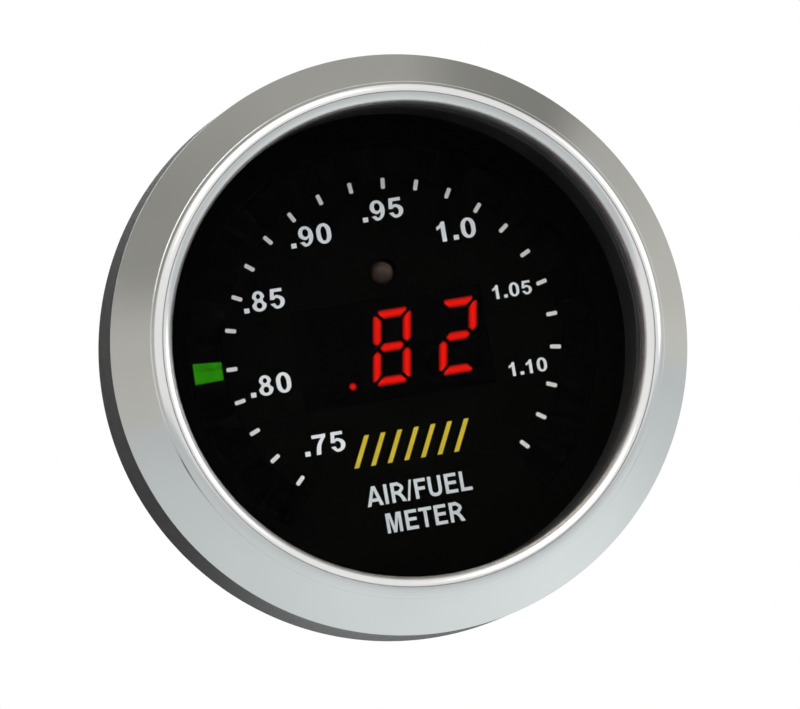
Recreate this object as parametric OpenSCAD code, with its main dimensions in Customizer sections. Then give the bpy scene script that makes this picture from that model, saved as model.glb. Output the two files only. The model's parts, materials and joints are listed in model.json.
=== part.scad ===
// Air fuel ratio gauge for a 52 mm dash hole, in millimetres.
// The dial looks along -Y, +Z is its twelve o'clock, and the bezel's back lies on Y = 0.
// Every piece is drawn with its height up towards the driver, and facing() turns it into place.

/* [Bezel] */
// Thickness of the bezel's wall at the panel
bezel_wall = 2.5; // [2:0.1:5]
// Height of the bezel from the panel to the crest of its lip
bezel_h = 17; // [16:0.1:20]
// Height of the straight side below the cone
bezel_side_h = 10.2; // [9.8:0.1:11.5]
// How much narrower the side is at its top
bezel_draft = 0.3; // [0.1:0.05:0.5]
// Break on the bezel's outer edges
bezel_edge = 0.25; // [0.1:0.05:0.4]
// How far the lip reaches over the lens
lip_lap = 1.3; // [1.1:0.05:2]
// Half the width of the rolled lip
lip_roll_r = 1.1; // [0.9:0.05:1.2]
// Height of the shoulder between the cone and the lip
lip_step_h = 0.15; // [0.05:0.05:0.3]
// Depth of the lip from its crest to the lens
lip_t = 1.8; // [1.6:0.1:2.2]
// Pitch of the bezel's thread
bezel_pitch = 1.5; // [1:0.25:2]
// Turns that free the bezel
bezel_turns = 3; // [2:1:4]

/* [Lens] */
// Thickness of the clear lens
lens_t = 1.3; // [1:0.1:1.8]
// Gap around the lens inside the bezel
lens_gap = 0.3; // [0.1:0.05:0.4]
// Gap between the lens and the underside of the lip
lens_play = 0.1; // [0.05:0.05:0.2]
// Break on the lens's edges
lens_edge = 0.15; // [0.05:0.05:0.3]
// Radius of the sealing ring's cord
ring_cord_r = 0.45; // [0.3:0.05:0.6]
// Gap between the sealing ring and the shroud
ring_play = 0.2; // [0.1:0.05:0.4]

/* [Case] */
// Radius of the case where it passes the panel
case_r = 26; // [22:0.1:30]
// Length of the land that fills the panel hole
land_len = 3.2; // [2:0.1:5]
// How much the barrel steps in behind the land
barrel_step = 0.3; // [0.1:0.05:0.5]
// Depth of the case behind the panel, without its cover
case_depth = 24.8; // [22:0.1:32]
// Thickness of the barrel wall
case_wall = 1.5; // [1.3:0.1:1.7]
// How much wider the neck that the bezel screws on is than the case
neck_step = 1.2; // [1:0.05:2]
// Height of the neck above the panel
neck_h = 8.9; // [8.5:0.1:9]
// Gap between the neck's thread and the bezel's
thread_gap = 0.3; // [0.2:0.05:0.4]
// How much narrower the neck is above its thread
neck_relief = 0.3; // [0.1:0.05:0.5]
// Thickness of the neck wall
neck_wall = 1.6; // [1.4:0.1:1.8]
// Break on the edges of the case and its cover
case_edge = 0.4; // [0.2:0.05:0.6]

/* [Shroud] */
// Thickness of the black shroud's wall at the dial
shroud_wall = 1.35; // [1.1:0.05:2]
// Gap between the shroud and the neck
shroud_gap = 0.05; // [0:0.05:0.1]
// How much narrower the shroud is above the neck
shroud_step = 0.35; // [0.3:0.05:0.5]
// Gap between the shroud and the bezel
rebate_gap = 0.4; // [0.35:0.05:0.5]
// Bevel on the shroud's front edge
shroud_edge = 0.3; // [0.1:0.05:0.5]

/* [Dial] */
// Height of the dial's face above the panel
dial_h = 4.4; // [4:0.1:5]
// Thickness of the dial
dial_t = 0.8; // [0.6:0.1:1.2]
// Gap between the dial and the neck
dial_gap = 0.2; // [0.1:0.05:0.3]
// Gap between the scale marks and the smoked band
scale_gap = 0.085; // [0.05:0.005:0.5]
// Length of a scale mark
mark_len = 1.13; // [0.8:0.01:1.2]
// Width of a scale mark
mark_w = 0.42; // [0.3:0.01:0.6]
// Thickness of the printed scale marks
mark_t = 0.06; // [0.04:0.01:0.1]
// Number of scale marks
mark_count = 24; // [20:1:25]
// Angle of the first scale mark
scale_start = 224.6; // [220:0.1:230]
// Angle between two scale marks
mark_step = 11.6; // [10.5:0.1:11.8]
// Extra angle where a sector of the scale ends
sector_gap = 2; // [0:0.1:3]
// Marks in the first sector
first_sector = 5; // [3:1:7]
// Marks in the last sector
last_sector = 3; // [2:1:5]

/* [Indicators] */
// How far the smoked band reaches past the light cells, inside
band_lap = 0.1; // [0.05:0.05:0.3]
// How far the smoked band reaches past the light cells, outside
band_rim = 0.55; // [0.1:0.05:0.7]
// Angle that the band runs past the end marks
band_over = 6; // [5:0.5:8]
// How far the smoked windows lie below the dial's face
window_sink = 0.04; // [0.02:0.01:0.1]
// Width of a light cell at its inner end
cell_in_w = 1.95; // [1.6:0.05:2.2]
// Width of a light cell at its outer end
cell_out_w = 2.25; // [2:0.05:2.5]
// Gap between a light pipe and its cell
pipe_gap = 0.05; // [0.02:0.01:0.1]
// Which light cell is lit, counted from the first mark
lit_cell = 5; // [1:1:20]
// Length, width and height of an indicator lamp
lamp_size = [2, 1.25, 0.8]; // [0.5:0.05:2]
// Radial width of the black baffle's inner rim
baffle_rim = 0.9; // [0.6:0.1:1]
// Gap between the baffle and the barrel
baffle_gap = 0.5; // [0.3:0.05:0.8]

/* [Display] */
// Gap around a smoked window in the dial
window_gap = 0.05; // [0.02:0.01:0.1]
// Place of the display's middle, right of the dial's middle
display_x = -0.09; // [-0.3:0.01:0.3]
// Place of the display's middle, above the dial's middle
display_y = 0.2; // [-0.3:0.01:0.3]
// Gap between two segments
segment_gap = 0.09; // [0.05:0.01:0.15]
// Depth of a segment in its housing
segment_t = 0.7; // [0.5:0.05:1]
// Slant of the digits
slant = 10; // [5:0.5:12]
// Radius of a decimal point
point_r = 0.42; // [0.3:0.01:0.5]
// How far the display housing reaches past its window
housing_lap = 0.55; // [0.3:0.05:0.8]
// Radius of a display pin
pin_r = 0.25; // [0.2:0.01:0.3]
// Distance between two display pins
pin_pitch = 2.54; // [2:0.01:2.6]
// Distance from the housing's edge to a row of display pins
pin_inset = 1.89; // [1.5:0.01:2.5]
// Least distance from the housing's ends to the display pins
pin_margin = 4; // [1:0.1:4.1]

/* [Light sensor] */
// Radius of the light sensor
sensor_r = 1.25; // [1:0.05:1.3]
// Gap around the light sensor in the dial
sensor_gap = 0.15; // [0.1:0.01:0.25]
// Place of the light sensor, right of the dial's middle
sensor_x = 0.35; // [0:0.05:0.8]
// Gap between the light sensor and the display housing
sensor_margin = 0.75; // [0.3:0.05:2]
// How far the sensor's dome lies below the dial's face
sensor_sink = 0.3; // [0.1:0.05:0.5]

/* [Boards] */
// Thickness of a circuit board
board_t = 1.6; // [1.2:0.1:2]
// Gap between a circuit board and the barrel
board_gap = 0.5; // [0.3:0.05:0.8]
// Depth of the display board's front behind the panel
board_depth = 3.5; // [3:0.1:4]
// Room for the connectors between the main board and the cover
rear_room = 7.3; // [6.5:0.1:9]
// Width of a spacer across its flats
spacer_w = 4.4; // [4:0.1:5]
// Angles of the spacers
spacer_angles = [72, 140, 220, 285]; // [0:1:360]
// Radius of a board screw
board_screw_r = 1; // [0.8:0.05:1.2]
// Radius and height of a board screw's head
board_head = [1.9, 1.2]; // [0.8:0.1:2]
// Gap around screws and pins in their holes
hole_gap = 0.1; // [0.05:0.01:0.2]

/* [Board link] */
// Height of the link's plug body
link_plug_h = 2.5; // [2:0.1:3]
// Radius of a link pin
link_pin_r = 0.32; // [0.25:0.01:0.4]
// Depth of the socket that the link's pins leave free
link_end = 2.3; // [0.5:0.1:4]

/* [Connectors] */
// Pitch of the connector pins
pole_pitch = 4.2; // [4:0.05:4.4]
// Poles of the power connector, across and up
power_poles = [2, 2]; // [2:1:2]
// Poles of the sensor connector, across and up
sensor_poles = [2, 3]; // [2:1:3]
// Wall of a connector shell
shell_wall = 0.8; // [0.7:0.05:1]
// Height of a connector shell behind its board
shell_h = 12.5; // [11.5:0.1:14]
// Thickness of a connector shell's floor
shell_floor = 1.5; // [1.2:0.1:1.8]
// Radius of a connector pin
pole_r = 0.5; // [0.4:0.05:0.6]
// Free length of a connector pin
pole_len = 6.2; // [5.5:0.1:6.5]
// Gap between the power connector and the screw boss beside it
shell_clear = 0.7; // [0.3:0.05:1.2]
// Place of the power connector, above the middle
power_y = 0; // [-1:0.1:1]
// Place of the sensor connector, above the middle
sensor_conn_y = -4.2; // [-4.6:0.1:-4]
// Height, width and thickness of the catch on a shell
catch_size = [2.4, 3, 0.6]; // [0.5:0.1:3.4]
// Gap around a connector shell in the cover
shell_gap = 0.3; // [0.2:0.05:0.4]

/* [Calibration selector] */
// Width of the selector's body
selector_w = 7; // [6.8:0.1:7.2]
// Height of the selector's body
selector_h = 4.5; // [4:0.1:5]
// Radius of the selector's rotor
rotor_r = 2.3; // [2:0.05:2.5]
// Running gap around the rotor
rotor_gap = 0.06; // [0.02:0.01:0.08]
// Height of the rotor, and its depth in the body
rotor_size = [3.4, 2.4]; // [2:0.1:4]
// Width and depth of the rotor's screwdriver slot
rotor_slot = [0.7, 0.8]; // [0.5:0.05:1]
// How much wider than the rotor the hole in the cover is
access_gap = 1.1; // [0.5:0.1:1.5]

/* [Rear cover] */
// Thickness of the rear cover
cover_t = 2.2; // [1.8:0.1:3]
// Height and thickness of the cover's locating rim
rim_size = [1.5, 1.2]; // [1:0.1:2]
// Gap between the locating rim and the barrel
rim_gap = 0.1; // [0.05:0.05:0.2]
// Distance of the cover screws from the inside of the barrel
cover_screw_inset = 2.6; // [2.5:0.05:3]
// Angles of the cover screws
cover_screw_angles = [60, 180, 300]; // [0:1:360]
// Radius of a cover screw
cover_screw_r = 1.1; // [0.9:0.05:1.3]
// Length of a cover screw below its head
cover_screw_len = 7; // [6:0.1:8]
// Radius and height of a cover screw's head
cover_head = [2, 1.4]; // [1:0.1:2.1]
// Radius of the bosses for the cover screws
boss_r = 2.4; // [2.2:0.1:2.5]

/* [Mounting studs] */
// Radius of a mounting stud
stud_r = 2; // [1.8:0.05:2.1]
// Distance of each stud from the outside of the land
stud_inset = 10; // [8:0.1:11]
// Length of a stud behind the cover
stud_len = 22; // [20:0.5:30]
// Width across the flats and height of a stud's head
stud_head = [7, 2.2]; // [2:0.1:7.2]
// Pitch of the stud's thread
stud_pitch = 0.7; // [0.6:0.05:0.8]

/* [Mounting bracket] */
// Thickness of the dash panel that the bracket clamps
panel_t = 3.6; // [3.5:0.1:6]
// Thickness of the bracket's strip
strip_t = 1.2; // [1:0.1:1.3]
// Width of the bracket's strip
strip_w = 12; // [10:0.5:12.5]
// Gap between the bracket's legs and the land
leg_gap = 0.3; // [0.3:0.05:0.4]
// Distance from the cover to the bracket's bridge
bridge_gap = 6; // [5.6:0.1:8]
// Outer radius of the bracket's bends
bend_r = 3; // [2:0.1:4]
// Gap around a stud in the bracket
bracket_hole_gap = 0.25; // [0.2:0.05:0.4]

/* [Nuts] */
// Radius and thickness of a lock washer
washer_size = [3.8, 0.9]; // [0.6:0.1:4]
// Radius of a thumb nut
nut_r = 4.6; // [4.2:0.1:5]
// Height of a thumb nut
nut_h = 6; // [5:0.1:7]
// Number of ridges around a thumb nut
knurl_count = 32; // [20:2:40]
// Radius of a ridge's groove
knurl_r = 0.32; // [0.2:0.01:0.4]
// Running gap between a nut and its stud
nut_gap = 0.08; // [0.03:0.01:0.1]

/* [Electronics] */
// Height of the microcontroller
controller_h = 1.5; // [1:0.1:2]
// Height of the driver chip and of the power devices
chip_h = 2.3; // [1.5:0.1:3]
// Height of a capacitor
capacitor_h = 5.8; // [4:0.1:7]
// Height of the crystal
crystal_h = 3.5; // [2:0.1:4]
// Leads on a side of the microcontroller
controller_leads = 8; // [6:1:10]
// Leads on a side of the driver chip
driver_leads = 12; // [8:1:14]
// Width and thickness of a chip's leads
lead_size = [0.4, 0.2]; // [0.15:0.01:0.6]
// Reach of a chip's leads beyond its body
lead_reach = 1; // [0.6:0.1:1.2]

/* [Hidden] */
$fn = 96;
overrun = 0.5;

// Heights along the axis, counted from the panel towards the driver
lip_under_z = bezel_h - lip_t;
lens_front_z = lip_under_z - lens_play;
lens_back_z = lens_front_z - lens_t;
ring_z = lens_back_z - ring_cord_r;
shroud_top_z = ring_z - ring_cord_r - ring_play;
dial_back_z = dial_h - dial_t;
board_z = -board_depth;
board_back_z = board_z - board_t;
cover_front_z = -case_depth;
main_back_z = cover_front_z + rear_room;
main_z = main_back_z + board_t;
spacer_len = board_back_z - main_z;
cover_back_z = cover_front_z - cover_t;
bridge_z = cover_back_z - bridge_gap;
bridge_back_z = bridge_z - strip_t;
nut_z = bridge_back_z - washer_size[1];
stud_end_z = cover_back_z - stud_len;

// Radii that follow from the case's
neck_r = case_r + neck_step;
thread_r = neck_r + thread_gap;
bezel_r = thread_r + bezel_wall;
neck_in_r = neck_r - neck_wall;
barrel_r = case_r - barrel_step;
barrel_in_r = barrel_r - case_wall;
shroud_r = neck_in_r - shroud_gap;
shroud_in_r = shroud_r - shroud_wall;
shroud_top_r = shroud_r - shroud_step;
rebate_r = shroud_top_r + rebate_gap;
lens_r = rebate_r - lens_gap;
lip_in_r = lens_r - lip_lap;
dial_r = neck_in_r - dial_gap;
board_r = barrel_in_r - board_gap;
lip_out_r = lip_in_r + 2 * lip_roll_r;
lip_mid_r = lip_in_r + lip_roll_r;
rim_r = bezel_r - bezel_draft;
thread_top_z = bezel_pitch * bezel_turns;
leg_in = case_r + leg_gap;
leg_out = leg_in + strip_t;
stud_hole_r = stud_r + hole_gap;
stud_y = case_r - stud_inset;
cover_screw_place_r = barrel_in_r - cover_screw_inset;
access_r = rotor_r + access_gap;
power_shell = [for (n = power_poles) n * pole_pitch + 2 * shell_wall];
sensor_shell = [for (n = sensor_poles) n * pole_pitch + 2 * shell_wall];
shell_x = cover_screw_place_r - boss_r - shell_clear - power_shell[0] / 2;

// Radii of the light cells, as shares of the dial's radius, and what lies around them
cell_in_share = 0.697;
cell_out_share = 0.817;
cell_in_r = dial_r * cell_in_share;
cell_out_r = dial_r * cell_out_share;
band_in_r = cell_in_r - band_lap;
band_out_r = cell_out_r + band_rim;
scale_r = band_in_r - scale_gap - mark_len / 2;

// Width and height of the display window, as shares of the dial's radius
window_share = [0.7835, 0.4055];
window_w = dial_r * window_share[0];
window_h = dial_r * window_share[1];
housing_w = window_w + 2 * housing_lap;
housing_h = window_h + 2 * housing_lap;
pin_rows = housing_h - 2 * pin_inset;
pin_count = 1 + floor((housing_w - 2 * pin_margin) / pin_pitch);
sensor_y = display_y + housing_h / 2 + sensor_margin + sensor_r;

// Sizes of the digits, as shares of their window
digit_pitch_share = 0.35;
digit_share = [0.1985, 0.743];
digit_pitch = window_w * digit_pitch_share;
digit_w = window_w * digit_share[0];
digit_h = window_h * digit_share[1];

// Width of a segment as a share of its digit, and the place of a decimal point in one
segment_share = 0.24;
point_share = [0.395, 0.444];
segment_w = digit_w * segment_share;
point_x = digit_pitch * point_share[0];
point_y = digit_h * point_share[1];

// Share of a shell's height that the catch lies below its mouth
catch_share = 0.3;
// Shares of a spacer's length that a screw holds, and of the board's radius where it stands
bite_share = 0.315;
spacer_place_share = 0.5823;
spacer_place_r = board_r * spacer_place_share;
board_screw_len = board_t + spacer_len * bite_share;
// Share of a screw head that its slot takes
slot_share = 0.4;
// Length, width and place of the link, as shares of the board's radius
link_share = [0.646, 0.1055];
link_place_share = 0.8143;
link_size = board_r * link_share;
link_y = board_r * link_place_share;
link_count = floor(link_size[0] / pin_pitch);
link_reach = spacer_len - link_plug_h - link_end;
// Place of the selector, as shares of the board's radius
selector_place_share = [0.55, 0.45];
selector_x = board_r * selector_place_share[0];
selector_y = board_r * selector_place_share[1];
// Places of the electronics, as shares of the board's radius
controller_place_share = [0.266, -0.135];
driver_place_share = [-0.127, 0];
regulator_place_share = [-0.178, 0.65];
switch_place_share = [-0.72, 0.3];
capacitor_place_shares = [[0.675, 0.337], [0.465, -0.62]];
crystal_place_share = [0.274, 0.211];
// Widths and lengths of the electronics, as shares of the board's radius
controller_share = 0.274;
driver_share = [0.316, 0.65];
power_chip_share = [0.274, 0.257];
capacitor_share = 0.131;
crystal_share = [0.16, 0.338];
controller_w = board_r * controller_share;
driver_size = board_r * driver_share;
power_chip_size = board_r * power_chip_share;
capacitor_r = board_r * capacitor_share;
crystal_size = board_r * crystal_share;
// Shares of a chip's width that its leads cover, and their height up its side
lead_row_share = 0.84;
lead_height_share = 0.4;
// Share of a capacitor's height that its square foot takes, and the foot's overhang
foot_share = 0.14;
foot_over_share = 1.06;

// Segments of a digit in the order top, upper right, lower right, bottom,
// lower left, upper left, middle
blank_digit = [0, 0, 0, 0, 0, 0, 0];
eight_digit = [1, 1, 1, 1, 1, 1, 1];
two_digit = [1, 1, 0, 1, 1, 0, 1];
shown_digits = [blank_digit, eight_digit, two_digit];
shown_points = [1, 0, 0];

function mark_angle(k) = scale_start - mark_step * k
    - (k >= first_sector ? sector_gap : 0) - (k >= mark_count - last_sector ? sector_gap : 0);
function slanted(p) = [p[0] + p[1] * tan(slant), p[1]];
function digit_place(k) = display_x + (k - 1) * digit_pitch;
function row(count, pitch) = [for (k = [0 : count - 1]) (k - (count - 1) / 2) * pitch];
function grid(poles) = [for (x = row(poles[0], pole_pitch), y = row(poles[1], pole_pitch)) [x, y]];

band_start = mark_angle(mark_count - 1) - band_over;
band_end = mark_angle(0) + band_over;

// Turns a piece that was drawn with its height up towards the driver
module facing() {
    rotate([90, 0, 0]) children();
}

// A round bar between two heights
module bar(r, low, high) {
    translate([0, 0, low]) cylinder(r = r, h = high - low);
}

// A box centred on x and y between two heights
module block(w, l, low, high) {
    translate([-w / 2, -l / 2, low]) cube([w, l, high - low]);
}

// A ring turned from a profile of radius and height
module turned(points) {
    rotate_extrude() polygon(points);
}

// An arc of a flat ring between two angles
module arc_band(r_in, r_out, from, to, low, high) {
    translate([0, 0, low]) rotate([0, 0, from]) rotate_extrude(angle = to - from)
        polygon([[r_in, 0], [r_out, 0], [r_out, high - low], [r_in, high - low]]);
}

// A wedge of one light cell, shrunk all round by the gap
module cell_wedge(gap, low, high) {
    translate([0, 0, low]) linear_extrude(high - low)
        polygon([[cell_in_r + gap, gap - cell_in_w / 2], [cell_out_r - gap, gap - cell_out_w / 2],
            [cell_out_r - gap, cell_out_w / 2 - gap], [cell_in_r + gap, cell_in_w / 2 - gap]]);
}

// Bezel: spun side, straight cone and a rolled lip, hollow behind
module bezel() {
    cone_top_z = bezel_h - lip_roll_r - lip_step_h;
    roll_z = bezel_h - lip_roll_r;
    step_z = neck_h + thread_gap;
    color("silver") facing() rotate_extrude() union() {
        polygon([[thread_r, 0], [bezel_r - bezel_edge, 0], [bezel_r, bezel_edge],
            [rim_r, bezel_side_h - bezel_edge], [rim_r - bezel_edge, bezel_side_h],
            [lip_out_r, cone_top_z], [lip_out_r, roll_z], [lip_in_r, roll_z],
            [lip_in_r, lip_under_z], [rebate_r, lip_under_z],
            [rebate_r, step_z + thread_r - rebate_r], [thread_r, step_z]]);
        intersection() {
            translate([lip_mid_r, roll_z]) circle(r = lip_roll_r);
            translate([lip_in_r, roll_z]) square([2 * lip_roll_r, lip_roll_r]);
        }
    }
}

// Lens: flat clear disc with broken edges
module lens() {
    color("lightcyan", 0.3) facing() turned([[0, lens_back_z], [lens_r - lens_edge, lens_back_z],
        [lens_r, lens_back_z + lens_edge], [lens_r, lens_front_z - lens_edge],
        [lens_r - lens_edge, lens_front_z], [0, lens_front_z]]);
}

// Sealing ring behind the lens
module lens_ring() {
    color("dimgray") facing() rotate_extrude()
        translate([lens_r - ring_cord_r - lens_edge, ring_z]) circle(r = ring_cord_r, $fn = 32);
}

// Shroud: black wall between the dial and the lens
module shroud() {
    color("black") facing() turned([[shroud_in_r, dial_h], [shroud_r, dial_h], [shroud_r, neck_h],
        [shroud_top_r, neck_h], [shroud_top_r, shroud_top_z],
        [shroud_in_r + shroud_edge, shroud_top_z], [shroud_in_r, shroud_top_z - shroud_edge]]);
}

// Dial: thin disc with the two windows and the sensor's hole
module dial() {
    color("black") facing() difference() {
        bar(dial_r, dial_back_z, dial_h);
        block(window_w + 2 * window_gap, window_h + 2 * window_gap,
            dial_back_z - overrun, dial_h + overrun);
        arc_band(band_in_r - window_gap, band_out_r + window_gap,
            band_start, band_end, dial_back_z - overrun, dial_h + overrun);
        translate([sensor_x, sensor_y]) bar(sensor_r + sensor_gap, dial_back_z - overrun, dial_h + overrun);
    }
}

// Scale marks: printed dashes around the dial
module scale_marks() {
    color("white") facing() for (k = [0 : mark_count - 1])
        rotate([0, 0, mark_angle(k)]) translate([scale_r, 0, 0])
            block(mark_len, mark_w, dial_h, dial_h + mark_t);
}

// Smoked band over the ring of indicator lights
module smoked_band() {
    arc_trim = atan(window_gap / band_in_r);
    color([0.05, 0.05, 0.08]) facing() arc_band(band_in_r, band_out_r,
        band_start + arc_trim, band_end - arc_trim, dial_back_z, dial_h - window_sink);
}

// Smoked window over the digits
module display_window() {
    color([0.08, 0.03, 0.03]) facing()
        block(window_w, window_h, dial_back_z, dial_h - window_sink);
}

// Baffle: black ring with one cell for each indicator light
module light_baffle() {
    color("black") facing() difference() {
        turned([[cell_in_r - baffle_rim, board_z], [barrel_in_r - baffle_gap, board_z],
            [barrel_in_r - baffle_gap, dial_back_z], [cell_in_r - baffle_rim, dial_back_z]]);
        for (k = [0 : mark_count - 1])
            rotate([0, 0, mark_angle(k)]) cell_wedge(0, board_z - overrun, dial_back_z + overrun);
    }
}

// One light pipe at a mark's angle, standing on its lamp
module light_pipe(k) {
    rotate([0, 0, mark_angle(k)]) cell_wedge(pipe_gap, board_z + lamp_size[2], dial_back_z);
}

// Light pipes that are dark
module light_pipes() {
    color("gainsboro") facing() for (k = [0 : mark_count - 1])
        if (k != lit_cell - 1) light_pipe(k);
}

// Light pipe that shows the reading
module light_pipe_lit() {
    color("limegreen") facing() light_pipe(lit_cell - 1);
}

// Indicator lamps on the display board, one behind each mark
module indicator_lamps() {
    color("ivory") facing() for (k = [0 : mark_count - 1])
        rotate([0, 0, mark_angle(k)]) translate([(cell_in_r + cell_out_r) / 2, 0])
            block(lamp_size[0], lamp_size[1], board_z, board_z + lamp_size[2]);
}

// Outline of one segment of a digit, grown all round to cut its pocket
module segment_outline(s, grow) {
    w = digit_w / 2;
    h = digit_h / 2;
    t = segment_w;
    g = segment_gap - grow;
    top = [[-w + g, h + grow], [w - g, h + grow],
        [w - t - g, h - t - grow], [t + g - w, h - t - grow]];
    upper = [[w + grow, h - g], [w + grow, t / 2 + g], [w - t / 2, g],
        [w - t - grow, t / 2 + g], [w - t - grow, h - t - g]];
    middle = [[w - t / 2 - g, 0], [w - t - g, t / 2 + grow], [t + g - w, t / 2 + grow],
        [t / 2 + g - w, 0], [t + g - w, -t / 2 - grow], [w - t - g, -t / 2 - grow]];
    flip_x = s == 4 || s == 5 ? -1 : 1;
    flip_y = s == 2 || s == 3 || s == 4 ? -1 : 1;
    points = s == 0 || s == 3 ? top : s == 6 ? middle : upper;
    polygon([for (p = points) slanted([flip_x * p[0], flip_y * p[1]])]);
}

// The segments and points of all digits whose state is the one asked for
module segments(state, grow, low, high) {
    for (k = [0 : 2]) translate([digit_place(k), display_y, low]) {
        for (s = [0 : 6]) if (shown_digits[k][s] == state || state == 2)
            linear_extrude(high - low) segment_outline(s, grow);
        if (shown_points[k] == state || state == 2)
            translate([point_x - point_y * tan(slant), -point_y])
                cylinder(r = point_r + grow, h = high - low, $fn = 32);
    }
}

// Housing of the three-digit display
module display_housing() {
    color("darkgray") facing() difference() {
        translate([display_x, display_y]) block(housing_w, housing_h, board_z, dial_back_z);
        segments(2, 0, dial_back_z - segment_t, dial_back_z + overrun);
        translate([display_x, display_y]) for (x = row(pin_count, pin_pitch), y = row(2, pin_rows))
            translate([x, y]) bar(pin_r, board_z - overrun, board_z + board_t);
    }
}

// Segments that are lit
module segments_lit() {
    color("red") facing() segments(1, 0, dial_back_z - segment_t, dial_back_z);
}

// Segments that are dark
module segments_unlit() {
    color("gainsboro") facing() segments(0, 0, dial_back_z - segment_t, dial_back_z);
}

// Pins of the display, through its board
module display_pins() {
    color("silver") facing() translate([display_x, display_y])
        for (x = row(pin_count, pin_pitch), y = row(2, pin_rows))
            translate([x, y]) bar(pin_r, board_back_z - board_t / 2, board_z + board_t);
}

// Light sensor: round body with a domed top
module light_sensor() {
    dome_z = dial_h - sensor_sink - sensor_r;
    color([0.35, 0.28, 0.22]) facing() translate([sensor_x, sensor_y]) union() {
        bar(sensor_r, board_z, dome_z);
        translate([0, 0, dome_z]) sphere(r = sensor_r);
    }
}

// The holes that both boards share for the spacers' screws
module spacer_places() {
    for (a = spacer_angles) rotate([0, 0, a]) translate([spacer_place_r, 0, 0]) children();
}

// The places of the link's pins
module link_places() {
    for (x = row(link_count, pin_pitch)) translate([x, -link_y, 0]) children();
}

// Display board: carries the digits, the lamps and the light sensor
module display_board() {
    color("darkgreen") facing() difference() {
        bar(board_r, board_back_z, board_z);
        spacer_places() bar(board_screw_r + hole_gap, board_back_z - overrun, board_z + overrun);
        translate([display_x, display_y]) for (x = row(pin_count, pin_pitch), y = row(2, pin_rows))
            translate([x, y]) bar(pin_r + hole_gap, board_back_z - overrun, board_z + overrun);
    }
}

// Spacers between the two boards
module board_spacers() {
    color("goldenrod") facing() spacer_places() difference() {
        translate([0, 0, main_z]) cylinder(d = spacer_w / cos(30), h = spacer_len, $fn = 6);
        bar(board_screw_r + hole_gap / 2, main_z - overrun, board_back_z + overrun);
    }
}

// One round-head screw, its shank down from height zero
module round_screw(r, len, head) {
    difference() {
        union() {
            bar(r, -len, 0);
            bar(head[0], 0, head[1]);
        }
        block(2 * head[0] + overrun, head[1] * slot_share, head[1] * (1 - slot_share), head[1] + overrun);
    }
}

// Screws that hold both boards to the spacers
module board_screws() {
    color("silver") facing() spacer_places() {
        translate([0, 0, board_z]) round_screw(board_screw_r, board_screw_len, board_head);
        translate([0, 0, main_back_z]) rotate([180, 0, 0])
            round_screw(board_screw_r, board_screw_len, board_head);
    }
}

// Link socket under the display board
module link_socket() {
    color("black") facing() difference() {
        translate([0, -link_y]) block(link_size[0], link_size[1], main_z + link_plug_h, board_back_z);
        link_places() bar(link_pin_r, main_z, main_z + link_plug_h + link_reach);
    }
}

// Link plug's body on the main board
module link_plug() {
    color("black") facing() difference() {
        translate([0, -link_y]) block(link_size[0], link_size[1], main_z, main_z + link_plug_h);
        link_places() bar(link_pin_r, main_z - overrun, main_z + link_plug_h + overrun);
    }
}

// Link pins from the main board into the socket
module link_pins() {
    color("gold") facing() link_places()
        bar(link_pin_r, main_back_z - board_t / 2, main_z + link_plug_h + link_reach);
}

// Main board: carries the electronics and the two connectors
module main_board() {
    color("darkgreen") facing() difference() {
        bar(board_r, main_back_z, main_z);
        spacer_places() bar(board_screw_r + hole_gap, main_back_z - overrun, main_z + overrun);
        link_places() bar(link_pin_r + hole_gap, main_back_z - overrun, main_z + overrun);
        translate([-shell_x, power_y]) for (p = grid(power_poles))
            translate(p) bar(pole_r + hole_gap, main_back_z - overrun, main_z + overrun);
        translate([shell_x, sensor_conn_y]) for (p = grid(sensor_poles))
            translate(p) bar(pole_r + hole_gap, main_back_z - overrun, main_z + overrun);
    }
}

// A chip on the main board with rows of leads on two of its sides
module chip(w, l, h, leads) {
    block(w, l, main_z + lead_size[1], main_z + h);
    for (side = [-1, 1], y = row(leads, l * lead_row_share / (leads - 1)))
        translate([side * (w / 2 + lead_reach / 2), y]) {
            block(lead_reach, lead_size[0], main_z, main_z + lead_size[1]);
            translate([-side * lead_reach / 4, 0])
                block(lead_reach / 2, lead_size[0], main_z, main_z + h * lead_height_share);
        }
}

// Moves a piece to a place on the main board given in shares of its radius
module on_main(place_share) {
    translate(board_r * place_share) children();
}

// Microcontroller
module microcontroller() {
    color("dimgray") facing() on_main(controller_place_share) union() {
        for (turn = [0, 90])
            rotate([0, 0, turn]) chip(controller_w, controller_w, controller_h, controller_leads);
    }
}

// Driver chip of the exhaust sensor
module sensor_driver() {
    color("dimgray") facing() on_main(driver_place_share)
        chip(driver_size[0], driver_size[1], chip_h, driver_leads);
}

// Body, tab and leads of a power device
module power_chip() {
    rotate([0, 0, 90]) union() {
        block(power_chip_size[1], power_chip_size[0], main_z, main_z + chip_h);
        translate([power_chip_size[1] / 2 + lead_reach / 2, 0])
            block(lead_reach, power_chip_size[0] * lead_row_share, main_z, main_z + lead_size[0]);
        for (y = row(2, power_chip_size[0] * lead_row_share))
            translate([-power_chip_size[1] / 2 - lead_reach / 2, y])
                block(lead_reach, 2 * lead_size[0], main_z, main_z + lead_size[0]);
    }
}

// Voltage regulator
module voltage_regulator() {
    color("dimgray") facing() on_main(regulator_place_share) power_chip();
}

// Transistor that switches the exhaust sensor's heater
module heater_switch() {
    color("dimgray") facing() on_main(switch_place_share) power_chip();
}

// Two can capacitors on square feet
module power_capacitors() {
    foot_w = 2 * capacitor_r * foot_over_share;
    foot_h = capacitor_h * foot_share;
    color("lightgray") facing() for (place = capacitor_place_shares) on_main(place) union() {
        block(foot_w, foot_w, main_z, main_z + foot_h);
        bar(capacitor_r, main_z + foot_h, main_z + capacitor_h);
    }
}

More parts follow.
